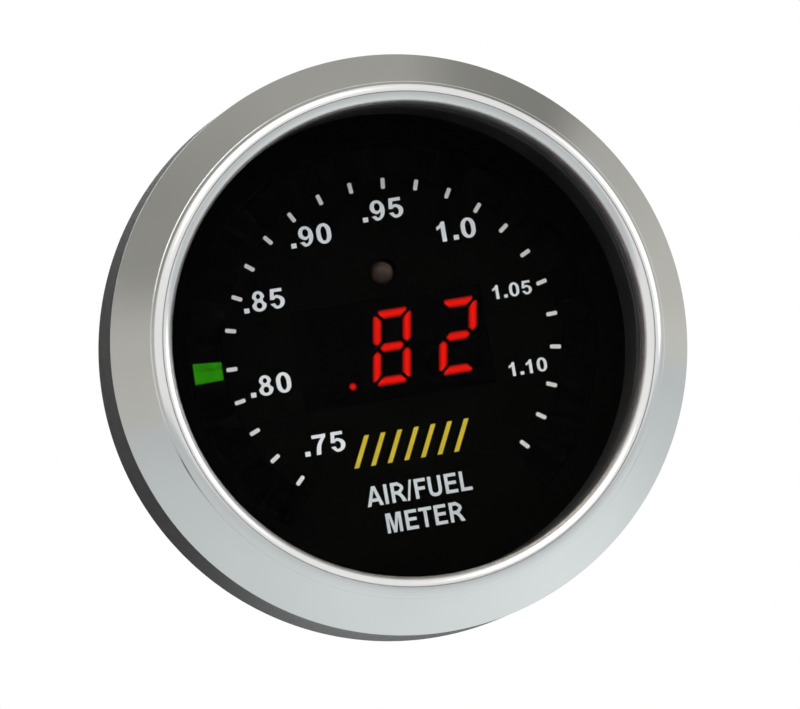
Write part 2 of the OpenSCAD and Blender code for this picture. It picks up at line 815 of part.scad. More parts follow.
// Crystal in its can
module crystal() {
    r = crystal_size[0] / 2;
    color("silver") facing() on_main(crystal_place_share) union() {
        block(crystal_size[1] - 2 * r, 2 * r, main_z, main_z + crystal_h);
        for (x = row(2, crystal_size[1] - 2 * r))
            translate([x, 0]) bar(r, main_z, main_z + crystal_h);
    }
}

// Body of the calibration selector, bored for its rotor
module selector_body() {
    color("steelblue") facing() translate([selector_x, selector_y]) difference() {
        block(selector_w, selector_w, main_back_z - selector_h, main_back_z);
        bar(rotor_r + rotor_gap, main_back_z - selector_h - overrun,
            main_back_z - selector_h + rotor_size[1] + rotor_gap);
    }
}

// Rotor of the calibration selector with its screwdriver slot
module selector_rotor() {
    top_z = main_back_z - selector_h + rotor_size[1];
    color("white") facing() translate([selector_x, selector_y]) difference() {
        bar(rotor_r, top_z - rotor_size[0], top_z);
        block(rotor_slot[0], 2 * rotor_r + overrun,
            top_z - rotor_size[0] - overrun, top_z - rotor_size[0] + rotor_slot[1]);
    }
}

// A connector shell behind the main board, open towards the rear
module connector_shell(size, poles, side) {
    mouth_z = main_back_z - shell_h;
    catch_z = mouth_z + shell_h * catch_share;
    difference() {
        union() {
            block(size[0], size[1], mouth_z, main_back_z);
            translate([side * (size[0] / 2 + catch_size[2] / 2), 0])
                block(catch_size[2], catch_size[1], catch_z - catch_size[0] / 2, catch_z + catch_size[0] / 2);
        }
        block(size[0] - 2 * shell_wall, size[1] - 2 * shell_wall,
            mouth_z - overrun, main_back_z - shell_floor);
        for (p = grid(poles)) translate(p) bar(pole_r, mouth_z, main_back_z + overrun);
    }
}

// Round pins of a connector, through its shell and the board
module connector_poles(poles) {
    for (p = grid(poles)) translate(p)
        bar(pole_r, main_back_z - shell_floor - pole_len, main_z + board_t / 2);
}

// Power and output connector
module power_connector() {
    color("black") facing() translate([-shell_x, power_y])
        connector_shell(power_shell, power_poles, 1);
}

// Exhaust sensor connector
module sensor_connector() {
    color("black") facing() translate([shell_x, sensor_conn_y])
        connector_shell(sensor_shell, sensor_poles, -1);
}

// Pins of the power connector
module power_pins() {
    color("gold") facing() translate([-shell_x, power_y]) connector_poles(power_poles);
}

// Pins of the exhaust sensor connector
module sensor_pins() {
    color("gold") facing() translate([shell_x, sensor_conn_y]) connector_poles(sensor_poles);
}

// The places of the cover screws
module cover_screw_places() {
    for (a = cover_screw_angles) rotate([0, 0, a]) translate([cover_screw_place_r, 0, 0]) children();
}

// Case: barrel, land and threaded neck, with bosses for the cover
module case() {
    color([0.12, 0.12, 0.13]) facing() difference() {
        union() {
            turned([[barrel_in_r, cover_front_z], [barrel_r - case_edge, cover_front_z],
                [barrel_r, cover_front_z + case_edge], [barrel_r, -land_len], [case_r, -land_len],
                [case_r, 0], [neck_r, 0], [neck_r, thread_top_z],
                [neck_r - neck_relief, thread_top_z + neck_relief],
                [neck_r - neck_relief, neck_h - case_edge], [neck_r - neck_relief - case_edge, neck_h],
                [neck_in_r, neck_h], [neck_in_r, dial_back_z], [barrel_in_r, dial_back_z]]);
            cover_screw_places() intersection() {
                union() {
                    bar(boss_r, cover_front_z, main_back_z);
                    translate([0, -boss_r, cover_front_z])
                        cube([case_r - cover_screw_place_r, 2 * boss_r, main_back_z - cover_front_z]);
                }
                translate([-cover_screw_place_r, 0, 0])
                    bar(barrel_in_r + case_wall / 2, cover_front_z, main_back_z);
            }
        }
        cover_screw_places() bar(cover_screw_r + hole_gap / 2, cover_front_z - overrun, main_back_z + overrun);
        translate([0, 0, cover_front_z - overrun])
            cylinder(r = barrel_in_r, h = overrun + rim_size[0] + rim_gap);
    }
}

// Rear cover: disc with a locating rim and all the rear openings
module rear_cover() {
    rim_out_r = barrel_in_r - rim_gap;
    color([0.12, 0.12, 0.13]) facing() difference() {
        turned([[0, cover_back_z], [barrel_r - case_edge, cover_back_z],
            [barrel_r, cover_back_z + case_edge], [barrel_r, cover_front_z],
            [rim_out_r, cover_front_z], [rim_out_r, cover_front_z + rim_size[0]],
            [rim_out_r - rim_size[1], cover_front_z + rim_size[0]],
            [rim_out_r - rim_size[1], cover_front_z], [0, cover_front_z]]);
        translate([-shell_x, power_y]) block(power_shell[0] + 2 * (shell_gap + catch_size[2]),
            power_shell[1] + 2 * shell_gap, cover_back_z - overrun, cover_front_z + overrun);
        translate([shell_x, sensor_conn_y]) block(sensor_shell[0] + 2 * (shell_gap + catch_size[2]),
            sensor_shell[1] + 2 * shell_gap, cover_back_z - overrun, cover_front_z + overrun);
        translate([selector_x, selector_y]) bar(access_r, cover_back_z - overrun, cover_front_z + overrun);
        for (y = row(2, 2 * stud_y))
            translate([0, y]) bar(stud_hole_r, cover_back_z - overrun, cover_front_z + overrun);
        cover_screw_places() bar(cover_screw_r + hole_gap, cover_back_z - overrun,
            cover_front_z + rim_size[0] + overrun);
    }
}

// Screws of the rear cover
module cover_screws() {
    color("silver") facing() cover_screw_places() translate([0, 0, cover_back_z]) rotate([180, 0, 0])
        round_screw(cover_screw_r, cover_screw_len, cover_head);
}

// Two studs with hexagonal heads inside the cover
module mounting_studs() {
    color("silver") facing() for (y = row(2, 2 * stud_y)) translate([0, y]) union() {
        bar(stud_r, stud_end_z, cover_front_z);
        translate([0, 0, cover_front_z]) cylinder(d = stud_head[0] / cos(30), h = stud_head[1], $fn = 6);
    }
}

// Nuts that lock the studs to the cover
module stud_nuts() {
    color("silver") facing() for (y = row(2, 2 * stud_y)) translate([0, y]) difference() {
        translate([0, 0, cover_back_z - stud_head[1]])
            cylinder(d = stud_head[0] / cos(30), h = stud_head[1], $fn = 6);
        bar(stud_r + hole_gap / 2, cover_back_z - stud_head[1] - overrun, cover_back_z + overrun);
    }
}

// Mounting bracket: a strip bent into a U, its legs bearing on the panel
module mounting_bracket() {
    color("gainsboro") facing() difference() {
        rotate([90, 0, 90]) translate([0, 0, -strip_w / 2]) linear_extrude(strip_w) difference() {
            union() {
                translate([-leg_out, bridge_back_z + bend_r])
                    square([2 * leg_out, -panel_t - bridge_back_z - bend_r]);
                translate([bend_r - leg_out, bridge_back_z])
                    square([2 * (leg_out - bend_r), bend_r]);
                for (y = row(2, 2 * (leg_out - bend_r)))
                    translate([y, bridge_back_z + bend_r]) circle(r = bend_r);
            }
            translate([-leg_in, bridge_back_z + bend_r])
                square([2 * leg_in, overrun - panel_t - bridge_back_z - bend_r]);
            translate([bend_r - leg_out, bridge_z]) square([2 * (leg_out - bend_r), bend_r]);
            for (y = row(2, 2 * (leg_out - bend_r)))
                translate([y, bridge_back_z + bend_r]) circle(r = bend_r - strip_t);
        }
        for (y = row(2, 2 * stud_y))
            translate([0, y]) bar(stud_r + bracket_hole_gap, bridge_back_z - overrun, bridge_z + overrun);
    }
}

// Split lock washers under the thumb nuts
module lock_washers() {
    color("silver") facing() for (y = row(2, 2 * stud_y)) translate([0, y]) difference() {
        bar(washer_size[0], nut_z, bridge_back_z);
        bar(stud_r + bracket_hole_gap, nut_z - overrun, bridge_back_z + overrun);
        translate([0, -washer_size[1] / 4, nut_z - overrun])
            cube([washer_size[0] + overrun, washer_size[1] / 2, washer_size[1] + 2 * overrun]);
    }
}

// A thumb nut with a ridged rim, seated at its washer
module thumb_nut() {
    color("goldenrod") facing() difference() {
        bar(nut_r, nut_z - nut_h, nut_z);
        bar(stud_r + nut_gap, nut_z - nut_h - overrun, nut_z + overrun);
        for (k = [0 : knurl_count - 1]) rotate([0, 0, 360 * k / knurl_count]) translate([nut_r, 0])
            translate([0, 0, nut_z - nut_h - overrun])
                cylinder(r = knurl_r, h = nut_h + 2 * overrun, $fn = 16);
    }
}

// Thumb nut on the upper stud
module upper_nut() {
    translate([0, 0, stud_y]) thumb_nut();
}

// Thumb nut on the lower stud
module lower_nut() {
    translate([0, 0, -stud_y]) thumb_nut();
}

bezel();
lens();
lens_ring();
shroud();
dial();
scale_marks();
smoked_band();
display_window();
light_baffle();
light_pipes();
light_pipe_lit();
indicator_lamps();
display_housing();
segments_lit();
segments_unlit();
display_pins();
light_sensor();
display_board();
board_spacers();
board_screws();
link_socket();
link_plug();
link_pins();
main_board();
microcontroller();
sensor_driver();
voltage_regulator();
heater_switch();
power_capacitors();
crystal();
selector_body();
selector_rotor();
power_connector();
sensor_connector();
power_pins();
sensor_pins();
case();
rear_cover();
cover_screws();
mounting_studs();
stud_nuts();
mounting_bracket();
lock_washers();
upper_nut();
lower_nut();
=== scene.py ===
# Air fuel ratio gauge: camera, studio, materials and the pieces that the frame leaves to this script
import json
import math

import bmesh
import bpy
from mathutils import Matrix, Vector


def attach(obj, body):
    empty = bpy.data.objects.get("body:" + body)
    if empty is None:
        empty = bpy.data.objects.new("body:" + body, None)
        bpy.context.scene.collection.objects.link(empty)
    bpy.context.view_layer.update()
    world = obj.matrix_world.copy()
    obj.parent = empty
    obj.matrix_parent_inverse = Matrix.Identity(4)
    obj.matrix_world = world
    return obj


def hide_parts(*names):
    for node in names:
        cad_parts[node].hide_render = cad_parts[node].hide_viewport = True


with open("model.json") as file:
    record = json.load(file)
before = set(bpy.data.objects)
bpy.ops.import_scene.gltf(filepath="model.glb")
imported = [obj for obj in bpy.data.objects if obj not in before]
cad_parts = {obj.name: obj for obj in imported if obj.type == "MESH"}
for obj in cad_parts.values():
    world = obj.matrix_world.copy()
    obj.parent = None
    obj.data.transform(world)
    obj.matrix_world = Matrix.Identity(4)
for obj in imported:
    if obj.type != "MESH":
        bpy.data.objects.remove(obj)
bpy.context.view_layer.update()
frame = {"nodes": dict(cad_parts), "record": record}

mm = 0.001
scene = bpy.context.scene
scene.view_settings.view_transform = "Standard"
nodes = frame["nodes"]
print("frame loaded:", len(nodes), "nodes")


# The gauge's own plane: x to the right, y up the dial, z out towards the driver
def toWorld(x, y, z):
    return Vector((x, -z, y))


def hexColour(code):
    # sRGB hex to linear light
    channels = [int(code[i:i + 2], 16) / 255 for i in (1, 3, 5)]
    linear = [c / 12.92 if c <= 0.04045 else ((c + 0.055) / 1.055) ** 2.4 for c in channels]
    return (*linear, 1)


def addNode(tree, kind, settings=None, links=None):
    # settings are the node's own properties or unlinked sockets, links are sockets that feed it
    node = tree.nodes.new(kind)
    for key, value in (settings or {}).items():
        if isinstance(key, str) and hasattr(node, key):
            setattr(node, key, value)
        else:
            node.inputs[key].default_value = value
    for key, source in (links or {}).items():
        tree.links.new(source, node.inputs[key])
    return node


# Camera: a long lens, low and left of the dial's middle, turned so that the gauge leans to the left
cameraValues = {
    "tilt": 9.4,        # degrees off the dial's axis
    "towards": 20.2,    # where that tilt lies, degrees below the dial's left
    "roll": 9.9,        # degrees that the gauge leans
    "distance": 600,    # mm from the point it looks at
    "aimHeight": 9,     # mm in front of the panel
    "lens": 264.6,
    "shift": (0.001, -0.0125),
}


def makeCamera(values):
    tilt, towards, roll = (math.radians(values[key]) for key in ("tilt", "towards", "roll"))
    back = toWorld(-math.sin(tilt) * math.cos(towards), -math.sin(tilt) * math.sin(towards), math.cos(tilt))
    right = toWorld(0, 1, 0).cross(back).normalized()
    up = back.cross(right)
    leanRight = right * math.cos(roll) - up * math.sin(roll)
    leanUp = right * math.sin(roll) + up * math.cos(roll)
    aim = toWorld(0, 0, values["aimHeight"] * mm)
    data = bpy.data.cameras.new("photoCamera")
    data.lens = values["lens"]
    data.sensor_width = 36
    data.shift_x, data.shift_y = values["shift"]
    data.clip_start, data.clip_end = 0.01, 20
    camera = bpy.data.objects.new("photoCamera", data)
    turn = Matrix((leanRight, leanUp, back)).transposed().to_4x4()
    camera.matrix_world = Matrix.Translation(aim + back * values["distance"] * mm) @ turn
    scene.collection.objects.link(camera)
    scene.camera = camera


makeCamera(cameraValues)
print("camera made")


# Studio: white world, pale floor, three soft lamps, and cards and a grey tent that only reflections see
studioValues = {
    "floorDrop": 62,       # mm from the gauge's axis down to the floor
    "floorRadius": 700,    # mm
    "floorColour": "#F0F2F5",
    "fill": 0.55,          # strength of the world's light on matt surfaces
    "lamps": {
        # name: place in mm, size in mm, watts, colour
        "topLamp": ((-250, -700, 800), 800, 3.6, "#FFF4E2"),
        "sideLamp": ((850, -550, 250), 700, 1.6, "#F1F5FF"),
        "rearLamp": ((-500, 900, 700), 800, 2.0, "#FFFFFF"),
    },
    "tent": {"radius": 500, "front": -60, "back": 520},   # mm
    # the tent's greys round the gauge: degrees up from its right, and share of white
    "tentGreys": [(0, 0.6), (34, 0.46), (42, 0.24), (60, 0.27), (71, 0.42), (100, 0.4), (131, 0.31),
                  (150, 0.32), (163, 0.52), (182, 0.58), (200, 0.6), (330, 0.7), (360, 0.64)],
    "tentTint": (1, 0.99, 0.92),      # a little warm
    # the floor as metal sees it, a painted pool of light under the gauge: mm from its middle, share of white
    "pool": {"middle": (35, 8), "radius": 300, "tint": (0.95, 1, 1.02),
             "greys": [(300, 0.62), (150, 0.69), (115, 0.72), (60, 0.81), (30, 0.88), (0, 0.96)]},
    "cards": {
        # name: middle in mm, width and height in mm, degrees tipped back, share of white
        "frontCard": ((93, -610, 35), (130, 130), 0, 0.004),
        "rearCard": ((-30, 165, 12), (200, 147), 0, 0.045),
        "rearMat": ((-30, 250, -61), (320, 260), 90, 0.08),
    },
}


def makeWorld(fill):
    world = bpy.data.worlds.new("studioWorld")
    scene.world = world
    world.use_nodes = True
    tree = world.node_tree
    tree.nodes.clear()
    path = addNode(tree, "ShaderNodeLightPath")
    seen = addNode(tree, "ShaderNodeMath", {"operation": "MAXIMUM"},
                   {0: path.outputs["Is Camera Ray"], 1: path.outputs["Is Glossy Ray"]})
    seen = addNode(tree, "ShaderNodeMath", {"operation": "MAXIMUM"},
                   {0: seen.outputs[0], 1: path.outputs["Is Transmission Ray"]})
    strength = addNode(tree, "ShaderNodeMapRange", {"To Min": fill, "To Max": 1}, {"Value": seen.outputs[0]})
    backdrop = addNode(tree, "ShaderNodeBackground", {"Color": hexColour("#FFFFFF")},
                       {"Strength": strength.outputs[0]})
    addNode(tree, "ShaderNodeOutputWorld", links={"Surface": backdrop.outputs[0]})


def greyRamp(tree, source, greys, tint):
    # greys are (position, share of white) in rising order, all seen through one tint
    ramp = addNode(tree, "ShaderNodeValToRGB", links={0: source})
    stops = ramp.color_ramp.elements
    for position, _ in greys[1:-1]:
        stops.new(position)
    for stop, (position, share) in zip(stops, greys):
        stop.position = position
        stop.color = (*(share * part for part in tint), 1)
    return ramp.outputs[0]


def makeFloor(values):
    # matt paper; reflections see instead a painted pool of light, brightest under the gauge
    mesh = bpy.data.meshes.new("floor")
    shape = bmesh.new()
    bmesh.ops.create_circle(shape, cap_ends=True, segments=96, radius=values["floorRadius"] * mm)
    shape.to_mesh(mesh)
    shape.free()
    mesh.transform(Matrix.Translation((0, 0, -values["floorDrop"] * mm)))
    floor = bpy.data.objects.new("floor", mesh)
    paper = bpy.data.materials.new("mattPaper")
    paper.use_nodes = True
    shader = paper.node_tree.nodes["Principled BSDF"]
    shader.inputs["Base Color"].default_value = hexColour(values["floorColour"])
    shader.inputs["Roughness"].default_value = 0.9
    shader.inputs["Specular IOR Level"].default_value = 0.1
    tree = paper.node_tree
    place = addNode(tree, "ShaderNodeTexCoord")
    pool = values["pool"]
    scale = 1 / (pool["radius"] * mm)
    middle = Vector((*pool["middle"], -values["floorDrop"])) * mm
    centred = addNode(tree, "ShaderNodeMapping",
                      {"Location": -middle * scale, "Scale": (scale, scale, scale)},
                      {"Vector": place.outputs["Object"]})
    sphere = addNode(tree, "ShaderNodeTexGradient", {"gradient_type": "SPHERICAL"}, {0: centred.outputs[0]})
    shares = [(1 - r / pool["radius"], share) for r, share in pool["greys"]]
    greys = greyRamp(tree, sphere.outputs["Fac"], shares, pool["tint"])
    # painted pool of light, seen only by reflections
    glow = addNode(tree, "ShaderNodeEmission", links={"Color": greys})
    path = addNode(tree, "ShaderNodeLightPath")
    mix = addNode(tree, "ShaderNodeMixShader",
                  links={0: path.outputs["Is Glossy Ray"], 1: shader.outputs[0], 2: glow.outputs[0]})
    tree.links.new(mix.outputs[0], tree.nodes["Material Output"].inputs["Surface"])
    mesh.materials.append(paper)
    scene.collection.objects.link(floor)


def makeLamp(name, place, size, watts, colour):
    data = bpy.data.lights.new(name, "AREA")
    data.shape = "DISK"
    data.size = size * mm
    data.energy = watts
    data.color = hexColour(colour)[:3]
    lamp = bpy.data.objects.new(name, data)
    lamp.location = Vector(place) * mm
    lamp.rotation_mode = "QUATERNION"
    lamp.rotation_quaternion = lamp.location.to_track_quat("Z", "Y")
    scene.collection.objects.link(lamp)


def reflectedOnly(name, mesh, material):
    # a board that only reflections see: it neither lights the gauge nor shades it
    board = bpy.data.objects.new(name, mesh)
    mesh.materials.append(material)
    scene.collection.objects.link(board)
    for ray in ("camera", "diffuse", "volume_scatter", "shadow"):
        setattr(board, "visible_" + ray, False)


def boardMaterial(name, share):
    material = bpy.data.materials.new(name)
    material.use_nodes = True
    tree = material.node_tree
    tree.nodes.clear()
    glow = addNode(tree, "ShaderNodeEmission", {"Color": (share, share, share, 1), "Strength": 1})
    addNode(tree, "ShaderNodeOutputMaterial", links={"Surface": glow.outputs[0]})
    return material, tree, glow


def makeCard(name, place, size, tipped, share):
    mesh = bpy.data.meshes.new(name)
    shape = bmesh.new()
    bmesh.ops.create_grid(shape, size=0.5)
    shape.to_mesh(mesh)
    shape.free()
    spot = Vector(place) * mm
    turn = Matrix.Rotation(math.radians(90 - tipped), 4, "X")
    mesh.transform(Matrix.Translation(spot) @ turn @ Matrix.Diagonal((size[0] * mm, size[1] * mm, 1, 1)))
    reflectedOnly(name, mesh, boardMaterial(name + "Board", share)[0])


def makeTent(values):
    tent = values["tent"]
    mesh = bpy.data.meshes.new("tent")
    shape = bmesh.new()
    bmesh.ops.create_cone(shape, segments=64, radius1=tent["radius"] * mm, radius2=tent["radius"] * mm,
                          depth=(tent["back"] - tent["front"]) * mm)
    shape.to_mesh(mesh)
    shape.free()
    middle = (tent["back"] + tent["front"]) / 2
    mesh.transform(Matrix.Translation((0, middle * mm, 0)) @ Matrix.Rotation(math.pi / 2, 4, "X"))
    material, tree, glow = boardMaterial("tentCloth", 1)
    place = addNode(tree, "ShaderNodeTexCoord")
    # upright angle round the gauge's axis, counted from its right
    turned = addNode(tree, "ShaderNodeMapping", {"Rotation": (-math.pi / 2, 0, math.pi)},
                     {"Vector": place.outputs["Object"]})
    sweep = addNode(tree, "ShaderNodeTexGradient", {"gradient_type": "RADIAL"}, {0: turned.outputs[0]})
    shares = [(degrees / 360, share) for degrees, share in values["tentGreys"]]
    greys = greyRamp(tree, sweep.outputs["Fac"], shares, values["tentTint"])
    tree.links.new(greys, glow.inputs["Color"])
    reflectedOnly("tent", mesh, material)


makeWorld(studioValues["fill"])
makeFloor(studioValues)
for name, facts in studioValues["lamps"].items():
    makeLamp(name, *facts)
for name, facts in studioValues["cards"].items():
    makeCard(name, *facts)
makeTent(studioValues)
print("studio made")


# Materials
def startMaterial(name):
    material = bpy.data.materials.new(name)
    material.use_nodes = True
    tree = material.node_tree
    return material, tree, tree.nodes["Principled BSDF"]


def objectNoise(tree, sizeMm, detail=3, stretch=(1, 1, 1)):
    # noise whose grain has a real size, on the piece's own coordinates
    place = addNode(tree, "ShaderNodeTexCoord")
    mapping = addNode(tree, "ShaderNodeMapping", {"Scale": stretch}, {"Vector": place.outputs["Object"]})
    return addNode(tree, "ShaderNodeTexNoise", {"Scale": 1 / (sizeMm * mm), "Detail": detail},
                   {"Vector": mapping.outputs[0]})


def varied(tree, source, low, high):
    # noise keeps near its middle, so that part of it is spread over the whole range
    return addNode(tree, "ShaderNodeMapRange",
                   {"From Min": 0.3, "From Max": 0.7, "To Min": low, "To Max": high},
                   {"Value": source.outputs[0]})


def mixedColour(tree, source, darkHex, paleHex):
    blend = addNode(tree, "ShaderNodeMix", {"data_type": "RGBA"}, {0: varied(tree, source, 0, 1).outputs[0]})
    blend.inputs[6].default_value = hexColour(darkHex)
    blend.inputs[7].default_value = hexColour(paleHex)
    return blend.outputs[2]


def bumped(tree, shader, source, depthMm, strength=1):
    bump = addNode(tree, "ShaderNodeBump", {"Strength": strength, "Distance": depthMm * mm},
                   {"Height": source.outputs[0]})
    tree.links.new(bump.outputs[0], shader.inputs["Normal"])
    return bump


def moulded(name, darkHex, paleHex, roughness, grainMm, depthMm, patchMm=6, metallic=0, ior=1.5, shine=0.5,
            glow=0):
    # one family: a tone that drifts over patches, a fine grain in height and gloss, and a share of painted
    # glow in its own colour that brightens it as light would
    material, tree, shader = startMaterial(name)
    patch = objectNoise(tree, patchMm)
    grain = objectNoise(tree, grainMm)
    colour = mixedColour(tree, patch, darkHex, paleHex)
    for socket in ("Base Color", "Emission Color"):
        tree.links.new(colour, shader.inputs[socket])
    # painted glow: the surface gives off its own colour, brightening it as light would
    shader.inputs["Emission Strength"].default_value = glow
    gloss = varied(tree, grain, roughness * 0.85, roughness * 1.15)
    tree.links.new(gloss.outputs[0], shader.inputs["Roughness"])
    shader.inputs["Metallic"].default_value = metallic
    if not metallic:
        shader.inputs["IOR"].default_value = ior
        shader.inputs["Specular IOR Level"].default_value = shine
    bumped(tree, shader, grain, depthMm)
    return material


def glowing(name, hexCode, strength, roughness=0.35):
    # diffused light from a cast resin piece, a little uneven in soft patches
    material, tree, shader = startMaterial(name)
    cloud = objectNoise(tree, 0.9, 1)
    shader.inputs["Base Color"].default_value = hexColour(hexCode)
    shader.inputs["Roughness"].default_value = roughness
    shader.inputs["Emission Color"].default_value = hexColour(hexCode)
    tree.links.new(varied(tree, cloud, strength * 0.9, strength * 1.1).outputs[0],
                   shader.inputs["Emission Strength"])
    return material


def smoked(name, hexCode, share):
    # tinted acrylic: lets a share of the light through, dark where nothing shines behind it
    material, tree, shader = startMaterial(name)
    shader.inputs["Specular IOR Level"].default_value = 0.05
    shader.inputs["Base Color"].default_value = hexColour(hexCode)
    shader.inputs["Roughness"].default_value = 0.22
    shader.inputs["IOR"].default_value = 1.49
    bumped(tree, shader, objectNoise(tree, 0.4), 0.002)
    clear = addNode(tree, "ShaderNodeBsdfTransparent", {"Color": (share, share, share, 1)})
    mix = addNode(tree, "ShaderNodeMixShader", {0: 0.55}, {1: shader.outputs[0], 2: clear.outputs[0]})
    tree.links.new(mix.outputs[0], tree.nodes["Material Output"].inputs["Surface"])
    return material


def clearLens():
    # cast acrylic disc, polished: a thin cool gloss over the dial
    material, tree, shader = startMaterial("polishedAcrylic")
    shader.inputs["Base Color"].default_value = hexColour("#FFFFFF")
    shader.inputs["Roughness"].default_value = 0.02
    shader.inputs["IOR"].default_value = 1.49
    shader.inputs["Transmission Weight"].default_value = 1
    path = addNode(tree, "ShaderNodeLightPath")
    clear = addNode(tree, "ShaderNodeBsdfTransparent", {"Color": (0.94, 0.94, 0.94, 1)})
    mix = addNode(tree, "ShaderNodeMixShader",
                  links={0: path.outputs["Is Shadow Ray"], 1: shader.outputs[0], 2: clear.outputs[0]})
    tree.links.new(mix.outputs[0], tree.nodes["Material Output"].inputs["Surface"])
    return material


def satinAluminium():
    # fine-blasted, polished back and clear anodised aluminium: an even satin silver with no turning lines
    material, tree, shader = startMaterial("satinAnodisedAluminium")
    grain = objectNoise(tree, 0.15, 2)
    patch = objectNoise(tree, 12)
    tree.links.new(mixedColour(tree, patch, "#DDDDDC", "#E2E2E1"), shader.inputs["Base Color"])
    shader.inputs["Metallic"].default_value = 1
    tree.links.new(varied(tree, grain, 0.18, 0.21).outputs[0], shader.inputs["Roughness"])
    bumped(tree, shader, grain, 0.0008, 0.4)
    return material


def litSegmentResin():
    # red diffusing resin over a lamp: bright along its middle, dim at its rim
    material, tree, shader = startMaterial("litRedSegment")
    shader.inputs["Base Color"].default_value = hexColour("#8C0C06")
    shader.inputs["Roughness"].default_value = 0.35
    shader.inputs["Emission Color"].default_value = hexColour("#F01408")
    core = addNode(tree, "ShaderNodeAttribute", {"attribute_name": "core"})
    strength = addNode(tree, "ShaderNodeMapRange", {"From Max": 0.8, "To Min": 0.1, "To Max": 5.2},
                       {"Value": core.outputs["Fac"]})
    tree.links.new(strength.outputs[0], shader.inputs["Emission Strength"])
    return material


def smokyDome():
    # smoky brown epoxy, dark in its middle; the colour turns paler towards the dome's edge, a painted
    # highlight where light would catch it
    material, tree, shader = startMaterial("smokyEpoxyDome")
    # painted highlight: the colour turns paler towards the edge, by facing
    edge = addNode(tree, "ShaderNodeLayerWeight", {"Blend": 0.6})
    blend = addNode(tree, "ShaderNodeMix", {"data_type": "RGBA"}, {0: edge.outputs["Facing"]})
    blend.inputs[6].default_value = hexColour("#150E0B")
    blend.inputs[7].default_value = hexColour("#9A7C6E")
    tree.links.new(blend.outputs[2], shader.inputs["Base Color"])
    shader.inputs["Roughness"].default_value = 0.3
    shader.inputs["IOR"].default_value = 1.55
    shader.inputs["Specular IOR Level"].default_value = 0.3
    bumped(tree, shader, objectNoise(tree, 0.6), 0.002)
    return material


finishes = {
    "satin_silver_bezel": satinAluminium(),
    "clear_lens": clearLens(),
    # extruded nitrile cord: dull, sooty black
    "black_ring_rubber": moulded("extrudedNitrileRubber", "#101010", "#181818", 0.7, 0.15, 0.004),
    # moulded black ABS with a spark-eroded face, its colour lifted to dark grey all over: painted light for
    # the light that grazes the wall
    "black_shroud": moulded("sparkErodedAbs", "#323234", "#39393B", 0.55, 0.18, 0.004, shine=0.25),
    # screen-printed matt ink on polycarbonate sheet: almost no gloss
    "dial_black": moulded("mattScreenInk", "#040403", "#060605", 0.7, 0.1, 0.002, shine=0.03),
    # white screen ink: flat and neutral, with a little painted glow that brightens it
    "dial_print": moulded("whiteScreenInk", "#F4F4F2", "#FBFBF8", 0.6, 0.1, 0.002, shine=0.2, glow=0.08),
    # tinted acrylic sheet: black until something shines behind it
    "smoked_plastic": smoked("tintedAcrylic", "#07070A", 0.35),
    # cast acrylic pipes, their colour set almost black: painted shade for pipes with no lamp lit behind them
    "light_pipe": moulded("castAcrylicPipe", "#0A0B0A", "#101110", 0.3, 0.5, 0.002, ior=1.49, shine=0.1),
    "green_light": glowing("litGreenPipe", "#2F9A0A", 3.4),
    "red_light": litSegmentResin(),
    # white epoxy lamp bodies
    "lamp_body": moulded("mouldedLampEpoxy", "#CFCDBE", "#E0DECF", 0.35, 0.3, 0.001),
    # painted black face of the digit display
    "display_housing": moulded("paintedDisplayFace", "#030303", "#050505", 0.6, 0.15, 0.002, shine=0.05),
    # smoky brown epoxy dome of the sensor, with a painted highlight at its edge
    "sensor_resin": smokyDome(),
    # solder mask over glass cloth: deep green, glossy
    "board_laminate": moulded("solderMaskLaminate", "#0B3A1C", "#0F4824", 0.3, 0.5, 0.003),
    # turned brass with a light tarnish
    "brass_metal": moulded("turnedBrass", "#CDB070", "#DCC287", 0.26, 0.08, 0.003, metallic=1),
    # gold flash on pins
    "gold_pin": moulded("goldFlashedPin", "#D9AE55", "#E4BE6C", 0.2, 0.05, 0.001, metallic=1),
    # bright zinc plating on rolled steel: cool grey, mottled
    "plated_steel": moulded("zincPlatedSteel", "#A9ADB1", "#BEC2C5", 0.3, 0.25, 0.004, patchMm=2.5,
                            metallic=1),
    # transfer-moulded epoxy of chips: charcoal, grainy
    "chip_plastic": moulded("transferMouldedEpoxy", "#1B1C1E", "#232426", 0.5, 0.08, 0.003),
    # drawn aluminium cans
    "can_aluminium": moulded("drawnAluminiumCan", "#B7BABD", "#C5C8CA", 0.28, 0.1, 0.002, metallic=1),
    # glass-filled nylon of plugs: black with a soft sheen
    "connector_plastic": moulded("glassFilledNylon", "#111112", "#19191A", 0.42, 0.12, 0.005),
    # blue thermoset body of the selector
    "selector_plastic": moulded("blueThermoset", "#17396B", "#1F4680", 0.4, 0.1, 0.003),
    # white acetal rotor
    "rotor_plastic": moulded("turnedAcetal", "#D9D7CE", "#E6E4DC", 0.38, 0.1, 0.002),
    # black ABS case with an even spark-eroded grain
    "case_plastic": moulded("grainedCaseAbs", "#141415", "#1B1B1C", 0.5, 0.22, 0.01),
}

for part in frame["record"]["subparts"]:
    piece = nodes[part["node"]]
    piece.data.materials.clear()
    piece.data.materials.append(finishes[part["material_slot"]])
print("materials made:", len(finishes))


# Ways to make a piece: every one is drawn in the gauge's own plane, then laid into the frame
def settle(piece, sharpDegrees=35):
    # merges doubles, turns faces outwards, smooths all but the sharp edges, and lays the piece into the frame
    mesh = piece.data
    shape = bmesh.new()
    shape.from_mesh(mesh)
    bmesh.ops.remove_doubles(shape, verts=shape.verts, dist=0.0005 * mm)
    bmesh.ops.recalc_face_normals(shape, faces=shape.faces)
    shape.to_mesh(mesh)
    shape.free()
    mesh.transform(Matrix.Rotation(math.pi / 2, 4, "X"))
    mesh.shade_smooth()
    mesh.set_sharp_from_angle(angle=math.radians(sharpDegrees))
    return piece


